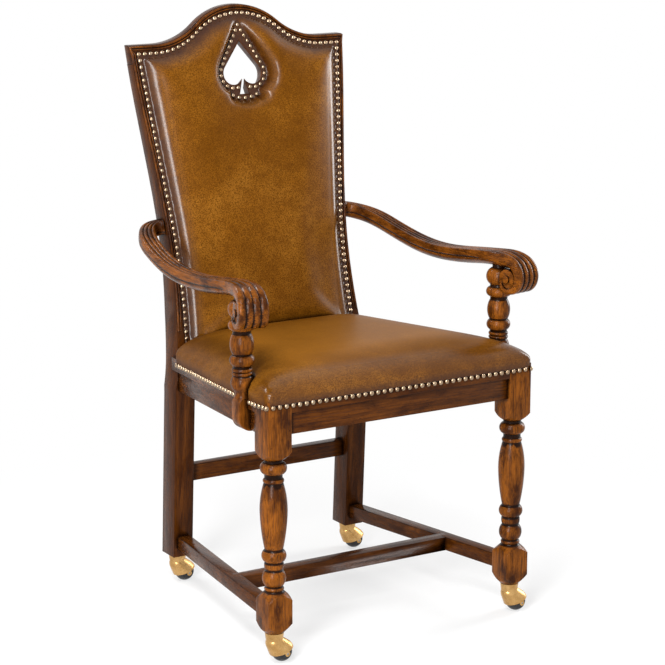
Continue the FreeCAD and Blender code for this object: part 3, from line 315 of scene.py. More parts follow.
NAIL_NODES = ("back_nails", "spade_nails", "rear_nails", "seat_nails")
NAILS = {node: nail_places(node) for node in NAIL_NODES}
BACK_CENTRE = (0.0, 0.78)
back_nail_flat = off_back(NAILS["back_nails"][0])[0]
NAIL_LINE = back_nail_flat[around(back_nail_flat, BACK_CENTRE)]
SIDE_LINE = np.vstack([NAIL_LINE, NAIL_LINE[[-1, 0]] - (0, 0.08)])
SPADE_CENTRE = (0.0, 0.99)
spade_nail_flat = off_back(NAILS["spade_nails"][0])[0]
SPADE_NAIL_LINE = spade_nail_flat[around(spade_nail_flat, SPADE_CENTRE)]

# Spade opening, as lines and arcs on the front plane of the back

SPADE_TIP_Z = 1.055
LOBE_X = 0.021
LOBE_Z = 0.993
LOBE_RADIUS = 0.0215
STEM_NECK_X = 0.0025
STEM_FOOT_X = 0.0105
STEM_FOOT_Z = 0.953
SPADE_SPREAD = 0.24


def spade_outline(grow):
    """Outline of the opening, widened by grow, clockwise from the tip."""
    radius = LOBE_RADIUS + grow
    tip_z = SPADE_TIP_Z + 1.5 * grow
    rise = tip_z - LOBE_Z
    start = math.atan2(rise, -LOBE_X) - math.acos(radius / math.hypot(LOBE_X, rise))
    end = -math.acos((STEM_NECK_X + 1.6 * grow - LOBE_X) / radius)
    angles = np.linspace(start, end, 28)
    lobe = np.column_stack([LOBE_X + radius * np.cos(angles), LOBE_Z + radius * np.sin(angles)])
    foot = (STEM_FOOT_X + grow, STEM_FOOT_Z - grow)
    right = np.vstack([[(0, tip_z)], lobe, [foot]])
    left = right[:0:-1] * (-1, 1)
    return np.vstack([right, left])


# Finishes

class Tree:
    """Node tree with short calls that add a node and feed a socket."""

    def __init__(self, tree):
        self.tree = tree

    def node(self, kind, inputs=None, **values):
        """New node with its values set, and its inputs, by name or number, linked or set."""
        node = self.tree.nodes.new(kind)
        for name, value in values.items():
            setattr(node, name, value)
        for socket, value in (inputs or {}).items():
            self.feed(node.inputs[socket], value)
        return node

    def feed(self, socket, value):
        """Links a socket to another or to a node's first output, or sets it to a plain value."""
        if isinstance(value, bpy.types.Node):
            value = value.outputs[0]
        if isinstance(value, bpy.types.NodeSocket):
            self.tree.links.new(value, socket)
        else:
            socket.default_value = value


class Finish(Tree):
    """Node tree of one finish, with short calls for the nodes that the finishes share."""

    def __init__(self, name, **sockets):
        self.material = bpy.data.materials.new(name)
        self.material.use_nodes = True
        super().__init__(self.material.node_tree)
        self.shader = self.tree.nodes["Principled BSDF"]
        for socket, value in sockets.items():
            self.shader.inputs[socket.replace("_", " ")].default_value = value

    def place(self):
        """Object coordinates."""
        return self.node("ShaderNodeTexCoord").outputs["Object"]

    def attribute(self, name, output="Fac"):
        return self.node("ShaderNodeAttribute", attribute_name=name).outputs[output]

    def stretched(self, vector, scale):
        return self.node("ShaderNodeMapping", {"Vector": vector, "Scale": scale}).outputs["Vector"]

    def noise(self, vector, scale, detail=4.0, roughness=0.55, distortion=0.0):
        noise = self.node("ShaderNodeTexNoise", {"Vector": vector, "Scale": scale, "Detail": detail,
                                                 "Roughness": roughness, "Distortion": distortion})
        return noise.outputs["Fac"]

    def waved(self, vector, scale, size):
        """Vector shifted by a slow noise, so that straight patterns wander."""
        noise = self.node("ShaderNodeTexNoise", {"Vector": self.stretched(vector, scale), "Scale": 1.0})
        shift = self.node("ShaderNodeVectorMath", {0: noise.outputs["Color"], 1: (size, size, size),
                                                   2: vector}, operation="MULTIPLY_ADD")
        return shift.outputs[0]

    def cells(self, vector, scale, feature="F1"):
        cells = self.node("ShaderNodeTexVoronoi", {"Vector": vector, "Scale": scale}, feature=feature)
        return cells.outputs["Distance"]

    def ramp(self, factor, *stops):
        """Colour ramp through (place, colour) stops."""
        ramp = self.node("ShaderNodeValToRGB", {"Fac": factor})
        elements = ramp.color_ramp.elements
        while len(elements) < len(stops):
            elements.new(1.0)
        for element, (place, colour) in zip(elements, stops):
            element.position = place
            element.color = (*colour, 1.0)
        return ramp.outputs["Color"]

    def rise(self, value, low, high, start=0.0, end=1.0):
        """Smooth change from start to end while value goes from low to high."""
        mapped = self.node("ShaderNodeMapRange", {"Value": value, "From Min": low, "From Max": high,
                                                  "To Min": start, "To Max": end},
                           interpolation_type="SMOOTHSTEP")
        return mapped.outputs["Result"]

    def mix(self, factor, under, over):
        """Colour under, covered by the plain colour over as far as factor says."""
        mix = self.node("ShaderNodeMix", {"Factor": factor, 6: under, 7: (*over, 1.0)}, data_type="RGBA")
        return mix.outputs[2]

    def combine(self, operation, first, second):
        return self.node("ShaderNodeMath", {0: first, 1: second}, operation=operation).outputs[0]

    def shade(self, reach):
        """Share of open sky within reach of a point, low in corners and grooves."""
        return self.node("ShaderNodeAmbientOcclusion", {"Distance": reach}, samples=8).outputs["AO"]

    def bump(self, height, distance, strength=1.0, over=None):
        bump = self.node("ShaderNodeBump", {"Height": height, "Distance": distance, "Strength": strength})
        if over is not None:
            self.feed(bump.inputs["Normal"], over)
        return bump.outputs["Normal"]

    def finish(self, colour, roughness=None, normal=None):
        for name, value in (("Base Color", colour), ("Roughness", roughness), ("Normal", normal)):
            if value is not None:
                self.feed(self.shader.inputs[name], value)
        return self.material


def walnut_finish():
    """Stained walnut: streaks along the grain, golden where worn, dark on edges, and dark glaze with painted
    shade in recesses and grooves.
    """
    wood = Finish("walnut", IOR=1.18)
    grain = wood.attribute("grain", "Vector")
    worn = wood.attribute("worn")
    waved = wood.waved(grain, (1.5, 8, 8), 0.025)
    figure = wood.noise(wood.stretched(waved, (4, 60, 60)), 1.0, 5.0, 0.62)
    patch = wood.noise(wood.stretched(grain, (12, 34, 34)), 1.0, 5.0, 0.65)
    streak = wood.noise(wood.stretched(waved, (9, 300, 300)), 1.0, 4.0, 0.65)
    fibre = wood.noise(wood.stretched(grain, (30, 700, 700)), 1.0, 3.0, 0.6)
    colour = wood.ramp(figure, (0.3, (0.024, 0.006, 0.001)), (0.5, (0.054, 0.0145, 0.0018)),
                       (0.72, (0.114, 0.033, 0.0037)))
    golden = wood.combine("MULTIPLY", wood.rise(patch, 0.36, 0.64, 0.0, 0.9), worn)
    colour = wood.mix(golden, colour, (0.250, 0.075, 0.0075))
    colour = wood.mix(wood.rise(patch, 0.48, 0.34, 0.0, 0.5), colour, (0.026, 0.006, 0.001))
    colour = wood.mix(wood.rise(streak, 0.48, 0.66, 0.0, 0.6), colour, (0.018, 0.0045, 0.001))
    colour = wood.mix(wood.rise(fibre, 0.48, 0.66, 0.0, 0.55), colour, (0.014, 0.0035, 0.001))
    fleck = wood.rise(wood.cells(wood.stretched(grain, (55, 120, 120)), 1.0), 0.06, 0.11, 1.0, 0.0)
    colour = wood.mix(wood.combine("MULTIPLY", fleck, 0.8), colour, (0.006, 0.002, 0.001))
    # Painted shade, partly dark glaze: darker where ambient occlusion finds corners and gaps between parts,
    # in hollows of the mesh and along the arms' flutes.
    glaze_and_shade = wood.combine("MAXIMUM", wood.rise(wood.shade(0.014), 0.45, 0.97, 0.92, 0.0),
                          wood.rise(wood.attribute("cavity"), 0.08, 0.6, 0.0, 0.95))
    flute = wood.rise(wood.combine("ABSOLUTE", wood.attribute("flute"), 0.0), 0.1, 1.0, 0.9, 0.0)
    glaze_and_shade = wood.combine("MAXIMUM", glaze_and_shade, flute)
    colour = wood.mix(glaze_and_shade, colour, (0.006, 0.0018, 0.0007))
    wear = wood.rise(wood.noise(grain, 60.0, 3.0), 0.35, 0.6, 0.3, 0.9)
    colour = wood.mix(wood.combine("MULTIPLY", wood.attribute("edge"), wear), colour, (0.010, 0.003, 0.001))
    relief = wood.bump(wood.combine("SUBTRACT", 1.0, flute), 0.0025, 1.0)
    relief = wood.bump(streak, 0.0005, 0.45, relief)
    relief = wood.bump(wood.noise(grain, 45.0, 3.0), 0.0012, 0.5, relief)
    relief = wood.bump(wood.combine("SUBTRACT", 1.0, fleck), 0.0006, 0.6, relief)
    return wood.finish(colour, wood.rise(streak, 0.3, 0.7, 0.16, 0.32), relief)


def leather_finish():
    """Golden brown leather, mottled; attributes make it dark by burnish and painted shade, pale by rubbed
    wear and painted light, shiny by gloss.
    """
    hide = Finish("leather", IOR=1.25)
    place = hide.place()
    cloud = hide.noise(place, 7.0, 4.0, 0.6, 0.4)
    patch = hide.noise(place, 42.0, 5.0, 0.65)
    speck = hide.noise(place, 520.0, 2.0, 0.6)
    colour = hide.ramp(cloud, (0.3, (0.130, 0.043, 0.002)), (0.52, (0.195, 0.070, 0.005)),
                       (0.7, (0.275, 0.108, 0.011)))
    colour = hide.mix(hide.rise(patch, 0.4, 0.7, 0.0, 0.5), colour, (0.105, 0.033, 0.002))
    colour = hide.mix(hide.rise(speck, 0.4, 0.62, 0.0, 0.85), colour, (0.070, 0.023, 0.001))
    # Pale on the seat's top: partly rubbed wear, partly painted light on the faces that look up.
    colour = hide.mix(hide.attribute("rubbed_and_lit_top"), colour, (0.330, 0.132, 0.015))
    # Darker near the nail lines, round the opening and low on the seat's skirt: partly burnish, partly
    # painted shade.
    burnish_and_shade = hide.combine("MULTIPLY", hide.attribute("burnish_and_shade"), hide.rise(patch, 0.25, 0.7, 0.7, 1.0))
    colour = hide.mix(burnish_and_shade, colour, (0.032, 0.008, 0.0015))
    # Painted shade: darker where ambient occlusion finds creases, the nails and the frame close by.
    corner = hide.rise(hide.shade(0.012), 0.3, 0.85, 0.85, 0.0)
    colour = hide.mix(corner, colour, (0.010, 0.003, 0.001))
    crease = hide.noise(hide.stretched(place, (60, 60, 95)), 1.0, 5.0, 0.65, 0.8)
    relief = hide.bump(hide.cells(place, 620.0, "SMOOTH_F1"), 0.00022, 0.3)
    relief = hide.bump(crease, 0.0006, 0.22, relief)
    gloss = hide.attribute("gloss")
    hide.feed(hide.shader.inputs["Specular IOR Level"], hide.rise(gloss, 0.0, 1.0, 0.16, 1.0))
    return hide.finish(colour, hide.rise(gloss, 0.0, 0.8, 0.42, 0.22), relief)


def dark_leather_finish():
    """Dark brown leather of the lining in the spade opening."""
    hide = Finish("lining leather", IOR=1.2)
    place = hide.place()
    colour = hide.ramp(hide.noise(place, 60.0, 4.0), (0.3, (0.030, 0.010, 0.004)),
                       (0.7, (0.085, 0.030, 0.010)))
    relief = hide.bump(hide.cells(place, 500.0, "SMOOTH_F1"), 0.0003, 0.4)
    return hide.finish(colour, hide.rise(hide.noise(place, 90.0), 0.3, 0.7, 0.3, 0.5), relief)


def brass_finish(name, bright, dull, tarnish_and_shade, share, roughness):
    """Worn brass: bright on the high places, dull in patches, and dark in the recesses and where it meets
    other parts, by tarnish and painted shade.
    """
    brass = Finish(name, Metallic=1.0)
    place = brass.place()
    colour = brass.ramp(brass.noise(place, 70.0, 4.0), (0.3, dull), (0.7, bright))
    # Tarnish and painted shade: darker where ambient occlusion finds hollows and other parts close by.
    colour = brass.mix(brass.rise(brass.shade(0.008), 0.2, 0.75, share, 0.0), colour, tarnish_and_shade)
    rough = brass.rise(brass.noise(place, 260.0, 3.0), 0.3, 0.7, roughness - 0.07, roughness + 0.09)
    relief = brass.bump(brass.noise(place, 220.0, 3.0), 0.0003, 0.2)
    return brass.finish(colour, rough, relief)


def wheel_finish():
    rubber = Finish("black wheel", Specular_IOR_Level=0.4)
    place = rubber.place()
    colour = rubber.ramp(rubber.noise(place, 160.0, 4.0), (0.3, (0.006, 0.006, 0.007)),
                         (0.75, (0.022, 0.021, 0.021)))
    scuffs = rubber.noise(rubber.stretched(place, (300, 90, 300)), 1.0, 3.0)
    return rubber.finish(colour, rubber.rise(scuffs, 0.3, 0.7, 0.3, 0.5), rubber.bump(scuffs, 0.0002, 0.3))


def steel_finish():
    steel = Finish("steel", Metallic=1.0)
    place = steel.place()
    colour = steel.ramp(steel.noise(place, 200.0, 4.0), (0.3, (0.28, 0.27, 0.26)), (0.7, (0.46, 0.45, 0.43)))
    return steel.finish(colour, steel.rise(steel.noise(place, 300.0), 0.3, 0.7, 0.3, 0.45))


def plain_wood_finish():
    """Unfinished board of the parts inside the seat and the back."""
    wood = Finish("plain board")
    place = wood.place()
    lines = wood.noise(wood.stretched(place, (6, 90, 90)), 1.0, 4.0)
    colour = wood.ramp(lines, (0.3, (0.070, 0.034, 0.014)), (0.7, (0.150, 0.080, 0.035)))
    return wood.finish(colour, wood.rise(lines, 0.3, 0.7, 0.55, 0.75), wood.bump(lines, 0.0003, 0.4))


def dust_cloth_finish():
    """Thin black woven cloth."""
    cloth = Finish("dust cloth", Sheen_Weight=0.2)
    place = cloth.place()
    along = cloth.noise(cloth.stretched(place, (700, 60, 60)), 1.0, 2.0)
    across = cloth.noise(cloth.stretched(place, (60, 700, 60)), 1.0, 2.0)
    weave = cloth.combine("MULTIPLY", along, across)
    colour = cloth.ramp(weave, (0.1, (0.006, 0.006, 0.006)), (0.5, (0.030, 0.029, 0.028)))
    return cloth.finish(colour, cloth.rise(weave, 0.1, 0.5, 0.8, 0.95), cloth.bump(weave, 0.0003, 0.5))


WALNUT = walnut_finish()
HIDE = leather_finish()
LINING = dark_leather_finish()
NAIL_BRASS = brass_finish("nail brass", bright=(0.46, 0.34, 0.23), dull=(0.28, 0.19, 0.115),
                          tarnish_and_shade=(0.02, 0.010, 0.005), share=0.6, roughness=0.26)
CASTER_BRASS = brass_finish("caster brass", bright=(0.62, 0.38, 0.15), dull=(0.42, 0.23, 0.075),
                            tarnish_and_shade=(0.10, 0.05, 0.016), share=0.85, roughness=0.3)
WHEEL = wheel_finish()
STEEL = steel_finish()
BOARD = plain_wood_finish()
DUST = dust_cloth_finish()


# Wooden pieces: the frame's own solids with softened edges; the grain runs along the first axis named

UPRIGHT = (2, 0, 1)
CROSSWISE = (0, 1, 2)
LENGTHWISE = (1, 0, 2)
EDGE = 1.3 * MM
HOLLOW_BEND = 200.0
FLUTE_WIDTH = 2.2 * MM
NO_FLUTE = 9.0
ARMS = ("arm_left", "arm_right")
HANDLED = (*ARMS, "arm_post_left", "arm_post_right", "front_leg_left", "front_leg_right")
LEAST_GOLDEN = ("crest_rail", "rear_leg_left", "rear_leg_right")


def soften(node):
    """Copy of a CAD node with its sharp edges rounded; faces on those edges are marked."""
    made = bmesh.new()
    made.from_mesh(NODES[node].data)
    bmesh.ops.remove_doubles(made, verts=made.verts, dist=2e-6)
    bmesh.ops.dissolve_limit(made, angle_limit=math.radians(0.6), verts=made.verts, edges=made.edges)
    mark = made.faces.layers.float.new("edge")
    sharp = [edge for edge in made.edges
             if len(edge.link_faces) == 2 and edge.calc_face_angle(0.0) > math.radians(32)]
    rounded = bmesh.ops.bevel(made, geom=sharp, offset=EDGE, offset_type="OFFSET", segments=2,
                              profile=0.5, affect="EDGES", clamp_overlap=True)
    for face in rounded["faces"]:
        face[mark] = 1.0
    bmesh.ops.triangulate(made, faces=[face for face in made.faces if len(face.verts) > 4])
    mesh = bpy.data.meshes.new(node + "_wood")
    made.to_mesh(mesh)
    made.free()
    return mesh


def cavity(mesh):
    """How hollow a mesh is at each point, from the turn of its normals along its edges."""
    points = coordinates(mesh)
    normals = point_normals(mesh)
    first, second = edge_ends(mesh)
    run = points[second] - points[first]
    length = np.maximum((run ** 2).sum(axis=1), 1e-12)
    bend = ((normals[second] - normals[first]) * run).sum(axis=1) / length
    total = np.zeros(len(points))
    count = np.full(len(points), 1e-9)
    for end in (first, second):
        np.add.at(total, end, bend)
        np.add.at(count, end, 1)
    hollow = np.clip(-total / count / HOLLOW_BEND, 0, 1)
    wider = hollow.copy()
    np.maximum.at(wider, first, 0.6 * hollow[second])
    np.maximum.at(wider, second, 0.6 * hollow[first])
    return wider


def flute(mesh):
    """Place across a groove along both sides of an arm, in half widths from its middle; far off elsewhere."""
    points = coordinates(mesh)
    normals = point_normals(mesh)
    edges = np.linspace(POST_Y + 0.03, points[:, 1].max() - 0.02, 14)
    middles = []
    for low, high in zip(edges[:-1], edges[1:]):
        heights = points[(points[:, 1] > low - 0.01) & (points[:, 1] < high + 0.01), 2]
        middles.append((heights.min() + heights.max()) / 2)
    middle = np.interp(points[:, 1], (edges[:-1] + edges[1:]) / 2, middles)
    across = (points[:, 2] - middle) / FLUTE_WIDTH
    off = (np.abs(normals[:, 2]) > 0.9) | (points[:, 1] < edges[0])
    return np.where(off, np.sign(across) * NO_FLUTE, across)


def set_grain(mesh, grain, worn):
    """Attributes that all walnut has: the grain's coordinates, the share worn golden and no flute."""
    set_attribute(mesh, "grain", grain)
    set_attribute(mesh, "worn", np.full(len(mesh.vertices), worn))
    set_attribute(mesh, "flute", np.full(len(mesh.vertices), NO_FLUTE))


# Share worn golden by part: most on the handled parts, least on the crest and rear legs, which come out
# darker; on the rear legs this is partly painted shade.
def worn_share(node):
    if node in HANDLED:
        return 0.9
    return 0.05 if node in LEAST_GOLDEN else 0.2


def wooden(node, axes):
    mesh = soften(node)
    piece = new_piece(node + "_wood", mesh)
    offset = len(bpy.data.objects) * 0.37
    set_grain(mesh, coordinates(mesh)[:, axes] + (offset, 0.6 * offset, 0.3 * offset), worn_share(node))
    if node in HANDLED:
        hollow = cavity(mesh)
        if node in ARMS:
            hollow *= step(np.abs(point_normals(mesh)[:, 0]), 0.75, 0.45)
            set_attribute(mesh, "flute", flute(mesh))
        set_attribute(mesh, "cavity", hollow)
    mesh.shade_smooth()
    mesh.set_sharp_from_angle(angle=math.radians(35))
    paint(piece, WALNUT)
    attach(piece, "frame")
    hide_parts(node)


def make_woodwork():
    for node in ("crest_rail", "lower_back_rail", "front_seat_rail", "rear_seat_rail", "centre_stretcher",
                 "rear_stretcher"):
        wooden(node, CROSSWISE)
    for side in ("_right", "_left"):
        for node in ("rear_leg", "front_leg", "arm_post"):
            wooden(node + side, UPRIGHT)
        for node in ("side_seat_rail", "side_stretcher", "arm"):
            wooden(node + side, LENGTHWISE)


# Geometry nodes

class Maker(Tree):
    """Geometry tree with named sizes and a material as its inputs."""

    def __init__(self, name, *sizes):
        super().__init__(bpy.data.node_groups.new(name, "GeometryNodeTree"))
        self.tree.is_modifier = True
        inputs = [("Geometry", "Geometry"), *((size, "Float") for size in sizes), ("Material", "Material")]
        for socket, kind in inputs:
            self.tree.interface.new_socket(name=socket, in_out="INPUT", socket_type="NodeSocket" + kind)
        self.tree.interface.new_socket(name="Geometry", in_out="OUTPUT", socket_type="NodeSocketGeometry")
        self.given = self.node("NodeGroupInput").outputs

    def end(self, made):
        """Ends the tree: what it made becomes a real, smooth mesh with the material."""
        real = self.node("GeometryNodeRealizeInstances", {"Geometry": made})
        soft = self.node("GeometryNodeSetShadeSmooth", {"Geometry": real})
        painted = self.node("GeometryNodeSetMaterial", {"Geometry": soft, "Material": self.given["Material"]})
        self.node("NodeGroupOutput", {"Geometry": painted})

    def use(self, piece, **values):
        """Runs the tree on a piece with its inputs set by name, and keeps the mesh that it makes."""
        modifier = piece.modifiers.new(self.tree.name, "NODES")
        modifier.node_group = self.tree
        for socket in self.tree.interface.items_tree:
            name = socket.name.replace(" ", "_")
            if socket.in_out == "INPUT" and name in values:
                modifier[socket.identifier] = values[name]
        apply_modifiers(piece)


# Beads by geometry nodes: round mouldings swept along the front edge of the back frame

BEADS = ((2.6 * MM, 3.4 * MM), (1.7 * MM, 8.6 * MM))
BEAD_LOW_Z = 0.5
BEAD_WORN = 0.5


def bead_maker():
    maker = Maker("moulding", "Radius")
    curve = maker.node("GeometryNodeMeshToCurve", {"Mesh": maker.given["Geometry"]})
    ring = maker.node("GeometryNodeCurvePrimitiveCircle", {"Resolution": 10, "Radius": maker.given["Radius"]})
    tube = maker.node("GeometryNodeCurveToMesh", {"Curve": curve, "Profile Curve": ring, "Fill Caps": True})
    maker.end(tube)
    return maker


def outer_edge():
    """Outer front edge of the back frame, from the lower left over the crest to the lower right."""
    edge = []
    for node in ("rear_leg_left", "crest_rail", "rear_leg_right"):
        flat, height = off_back(coordinates(NODES[node].data))
        outside = signed_distance(flat, NAIL_LINE) < -8 * MM
        edge.append(flat[(np.abs(height) < 0.05 * MM) & outside & (flat[:, 1] > BEAD_LOW_Z)])
    edge = np.unique(np.vstack(edge).round(5), axis=0)
    return edge[around(edge, BACK_CENTRE)]


def make_beads():
    edge = outer_edge()
    ahead = np.gradient(edge, axis=0)
    ahead /= np.linalg.norm(ahead, axis=1, keepdims=True)
    inward = np.column_stack([ahead[:, 1], -ahead[:, 0]])
    maker = bead_maker()
    for radius, inset in BEADS:
        name = f"back_bead_{inset / MM:.0f}"
        path = on_back(edge + inset * inward, 0.2 * radius)
        mesh = mesh_of(name, path, edges=[(index, index + 1) for index in range(len(path) - 1)])
        piece = new_piece(name, mesh)
        maker.use(piece, Radius=radius, Material=WALNUT)
        set_grain(piece.data, coordinates(piece.data)[:, UPRIGHT], BEAD_WORN)
        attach(piece, "frame")


# Nails by geometry nodes: a worn dome on every point, a little tilted and uneven

def nail_maker():
    maker = Maker("nail rows", "Head radius", "Head height", "Tilt")
    radius = maker.given["Head radius"]
    ball = maker.node("GeometryNodeMeshUVSphere", {"Segments": 12, "Rings": 8, "Radius": 1.0})
    place = maker.node("GeometryNodeInputPosition")
    parts = maker.node("ShaderNodeSeparateXYZ", {0: place})
    below = maker.node("FunctionNodeCompare", {"A": parts.outputs["Z"], "B": -0.1}, operation="LESS_THAN")
    dome = maker.node("GeometryNodeDeleteGeometry", {"Geometry": ball, "Selection": below})
    size = maker.node("ShaderNodeCombineXYZ", {"X": radius, "Y": radius, "Z": maker.given["Head height"]})
    head = maker.node("GeometryNodeTransform", {"Geometry": dome, "Scale": size})
    way = maker.node("GeometryNodeInputNamedAttribute", {"Name": "way"}, data_type="FLOAT_VECTOR")
    uneven = maker.node("FunctionNodeRandomValue", {"Min": (-1, -1, -1), "Seed": 7}, data_type="FLOAT_VECTOR")
    tilt = maker.node("ShaderNodeVectorMath", {0: uneven, "Scale": maker.given["Tilt"]}, operation="SCALE")
    sway = maker.node("ShaderNodeVectorMath", {0: way, 1: tilt}, operation="ADD")
    turn = maker.node("FunctionNodeAlignRotationToVector", {"Vector": sway}, axis="Z")
    swell = maker.node("FunctionNodeRandomValue", {2: 0.94, 3: 1.04, "Seed": 3}, data_type="FLOAT")
    spread = maker.node("GeometryNodeInstanceOnPoints", {"Points": maker.given["Geometry"], "Instance": head,
                                                         "Rotation": turn, "Scale": swell.outputs[1]})
    maker.end(spread)
    return maker


def make_nails():
    maker = nail_maker()
    for node in NAIL_NODES:
        feet, ways = NAILS[node]
        mesh = mesh_of(node + "_heads", feet)
        set_attribute(mesh, "way", ways)
        piece = new_piece(node + "_heads", mesh)
        maker.use(piece, Head_radius=NAIL_RADIUS, Head_height=NAIL_DOME, Tilt=NAIL_TILT,
                  Material=NAIL_BRASS)
        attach(piece, "frame")
        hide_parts(node)


# Soft pieces, which are puffed up as cloth with these settings

STUFFED = {"quality": 5, "mass": 0.3, "tension_stiffness": 25, "compression_stiffness": 25,
           "shear_stiffness": 10, "bending_stiffness": 2.0, "use_pressure": True,
           "uniform_pressure_force": 3.0, "vertex_group_mass": "held"}


def even_mesh(piece, size):
    """Remeshes a closed piece into even faces."""
    remesh = piece.modifiers.new("even", "REMESH")
    remesh.mode = "VOXEL"
    remesh.voxel_size = size
    apply_modifiers(piece)


def swell(piece, held, most):
    """Puffs a closed piece up as cloth; held gives how firmly each point stays, most the longest move."""
    start = coordinates(piece.data)
    group = piece.vertex_groups.new(name="held")
    for weight in np.unique(held.round(2)):
        group.add(np.flatnonzero(held.round(2) == weight).tolist(), float(weight), "REPLACE")
    cloth = piece.modifiers.new("cloth", "CLOTH")
    for name, value in STUFFED.items():
        setattr(cloth.settings, name, value)
    cloth.settings.effector_weights.gravity = 0.0
    for number in range(1, 21):
        SCENE.frame_set(number)
    graph = bpy.context.evaluated_depsgraph_get()
    after = coordinates(piece.evaluated_get(graph).data)
    piece.modifiers.clear()
    SCENE.frame_set(1)
    move = after - start
    length = np.linalg.norm(move, axis=1, keepdims=True)
    move *= np.minimum(1.0, most / np.maximum(length, 1e-9))
    set_coordinates(piece.data, start + move)
    piece.vertex_groups.clear()


def relax(piece, free, rounds):
    """Evens a mesh out by moving each point towards its neighbours, as far as it is free."""
    points = coordinates(piece.data)
    first, second = edge_ends(piece.data)
    count = np.bincount(np.concatenate([first, second]), minlength=len(points))[:, None]
    for _ in range(rounds):
        total = np.zeros_like(points)
        np.add.at(total, first, points[second])
        np.add.at(total, second, points[first])
        points += 0.5 * free[:, None] * (total / count - points)
    set_coordinates(piece.data, points)


def subdivide(piece):
    finer = piece.modifiers.new("finer", "SUBSURF")
    finer.levels = 1
    finer.render_levels = 1
    apply_modifiers(piece)


def dress(piece, finish, slot, fill, *nodes):
    paint(piece, finish)
    piece.data.shade_smooth()
    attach(piece, "frame")
    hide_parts(*nodes)


def resampled(path, count):
    """Even points along a closed path."""
    closed = np.vstack([path, path[:1]])
    lengths = np.concatenate([[0], np.cumsum(np.hypot(*np.diff(closed, axis=0).T))])
    wanted = np.linspace(0, lengths[-1], count, endpoint=False)
    return np.column_stack([np.interp(wanted, lengths, closed[:, axis]) for axis in (0, 1)])


# Padding of the back

BAND = 5 * MM
PAD_FOOT = 7 * MM
PAD_ROLL = 52 * MM
PAD_CROWN = 29 * MM
PAD_LOW_ROLL = 14 * MM
HOLLOW_GAP = 5 * MM
HOLLOW_ROLL = 26 * MM
NAIL_PULL = 0.6 * MM


def roll(distance, reach):
    """Rise of a padded edge over reach, from a steep foot to a round shoulder."""
    share = np.clip(distance / reach, 0, 1)
    return 1 - (1 - share) ** 2


def pad_height(flat):
    """Height of the back's padding above its front plane before it is puffed up."""
    edge = signed_distance(flat, SIDE_LINE) - PAD_FOOT
    hollow = -signed_distance(flat, SPADE_NAIL_LINE) - HOLLOW_GAP
    crown = roll(edge, PAD_ROLL) * roll(flat[:, 1] - NAIL_LINE[:, 1].min(), PAD_LOW_ROLL)
    return LEATHER + PAD_CROWN * crown * roll(hollow, HOLLOW_ROLL), edge, hollow


def inward_rings(path, count, levels):
    """Rings of even 2-D points from a path to near the middle of the back."""
    path = resampled(path, count)
    centre = np.array(BACK_CENTRE)
    return [centre + (path - centre) * share for share in np.linspace(1, 0.01, levels)]


def grown(path, by):
    """Closed clockwise path moved outwards."""
    ahead = np.roll(path, -1, axis=0) - np.roll(path, 1, axis=0)
    ahead /= np.linalg.norm(ahead, axis=1, keepdims=True)
    return path + by * np.column_stack([-ahead[:, 1], ahead[:, 0]])


def cut_spade(piece):
    """Cuts the opening through a piece of the back."""
    rings = [on_back(spade_outline(2 * MM - SPADE_SPREAD * min(height, 0)), height)
             for height in (-0.06, 0.0, 0.09)]
    plug = new_piece("plug", ring_solid("plug", rings))
    cut = piece.modifiers.new("opening", "BOOLEAN")
    cut.operation = "DIFFERENCE"
    cut.solver = "EXACT"
    cut.object = plug
    apply_modifiers(piece)
    bpy.data.objects.remove(plug)


def flatten_behind(piece):
    """Cuts away what lies behind the front plane of the back and closes the cut."""
    made = bmesh.new()
    made.from_mesh(piece.data)
    seat = on_back(np.array([BACK_CENTRE]), 0.15 * MM)[0]
    out = on_back(np.array([BACK_CENTRE]), 1.0)[0] - on_back(np.array([BACK_CENTRE]), 0.0)[0]
    everything = made.verts[:] + made.edges[:] + made.faces[:]
    bmesh.ops.bisect_plane(made, geom=everything, plane_co=seat, plane_no=out, clear_inner=True)
    bmesh.ops.holes_fill(made, edges=[edge for edge in made.edges if edge.is_boundary])
    made.to_mesh(piece.data)
    made.free()


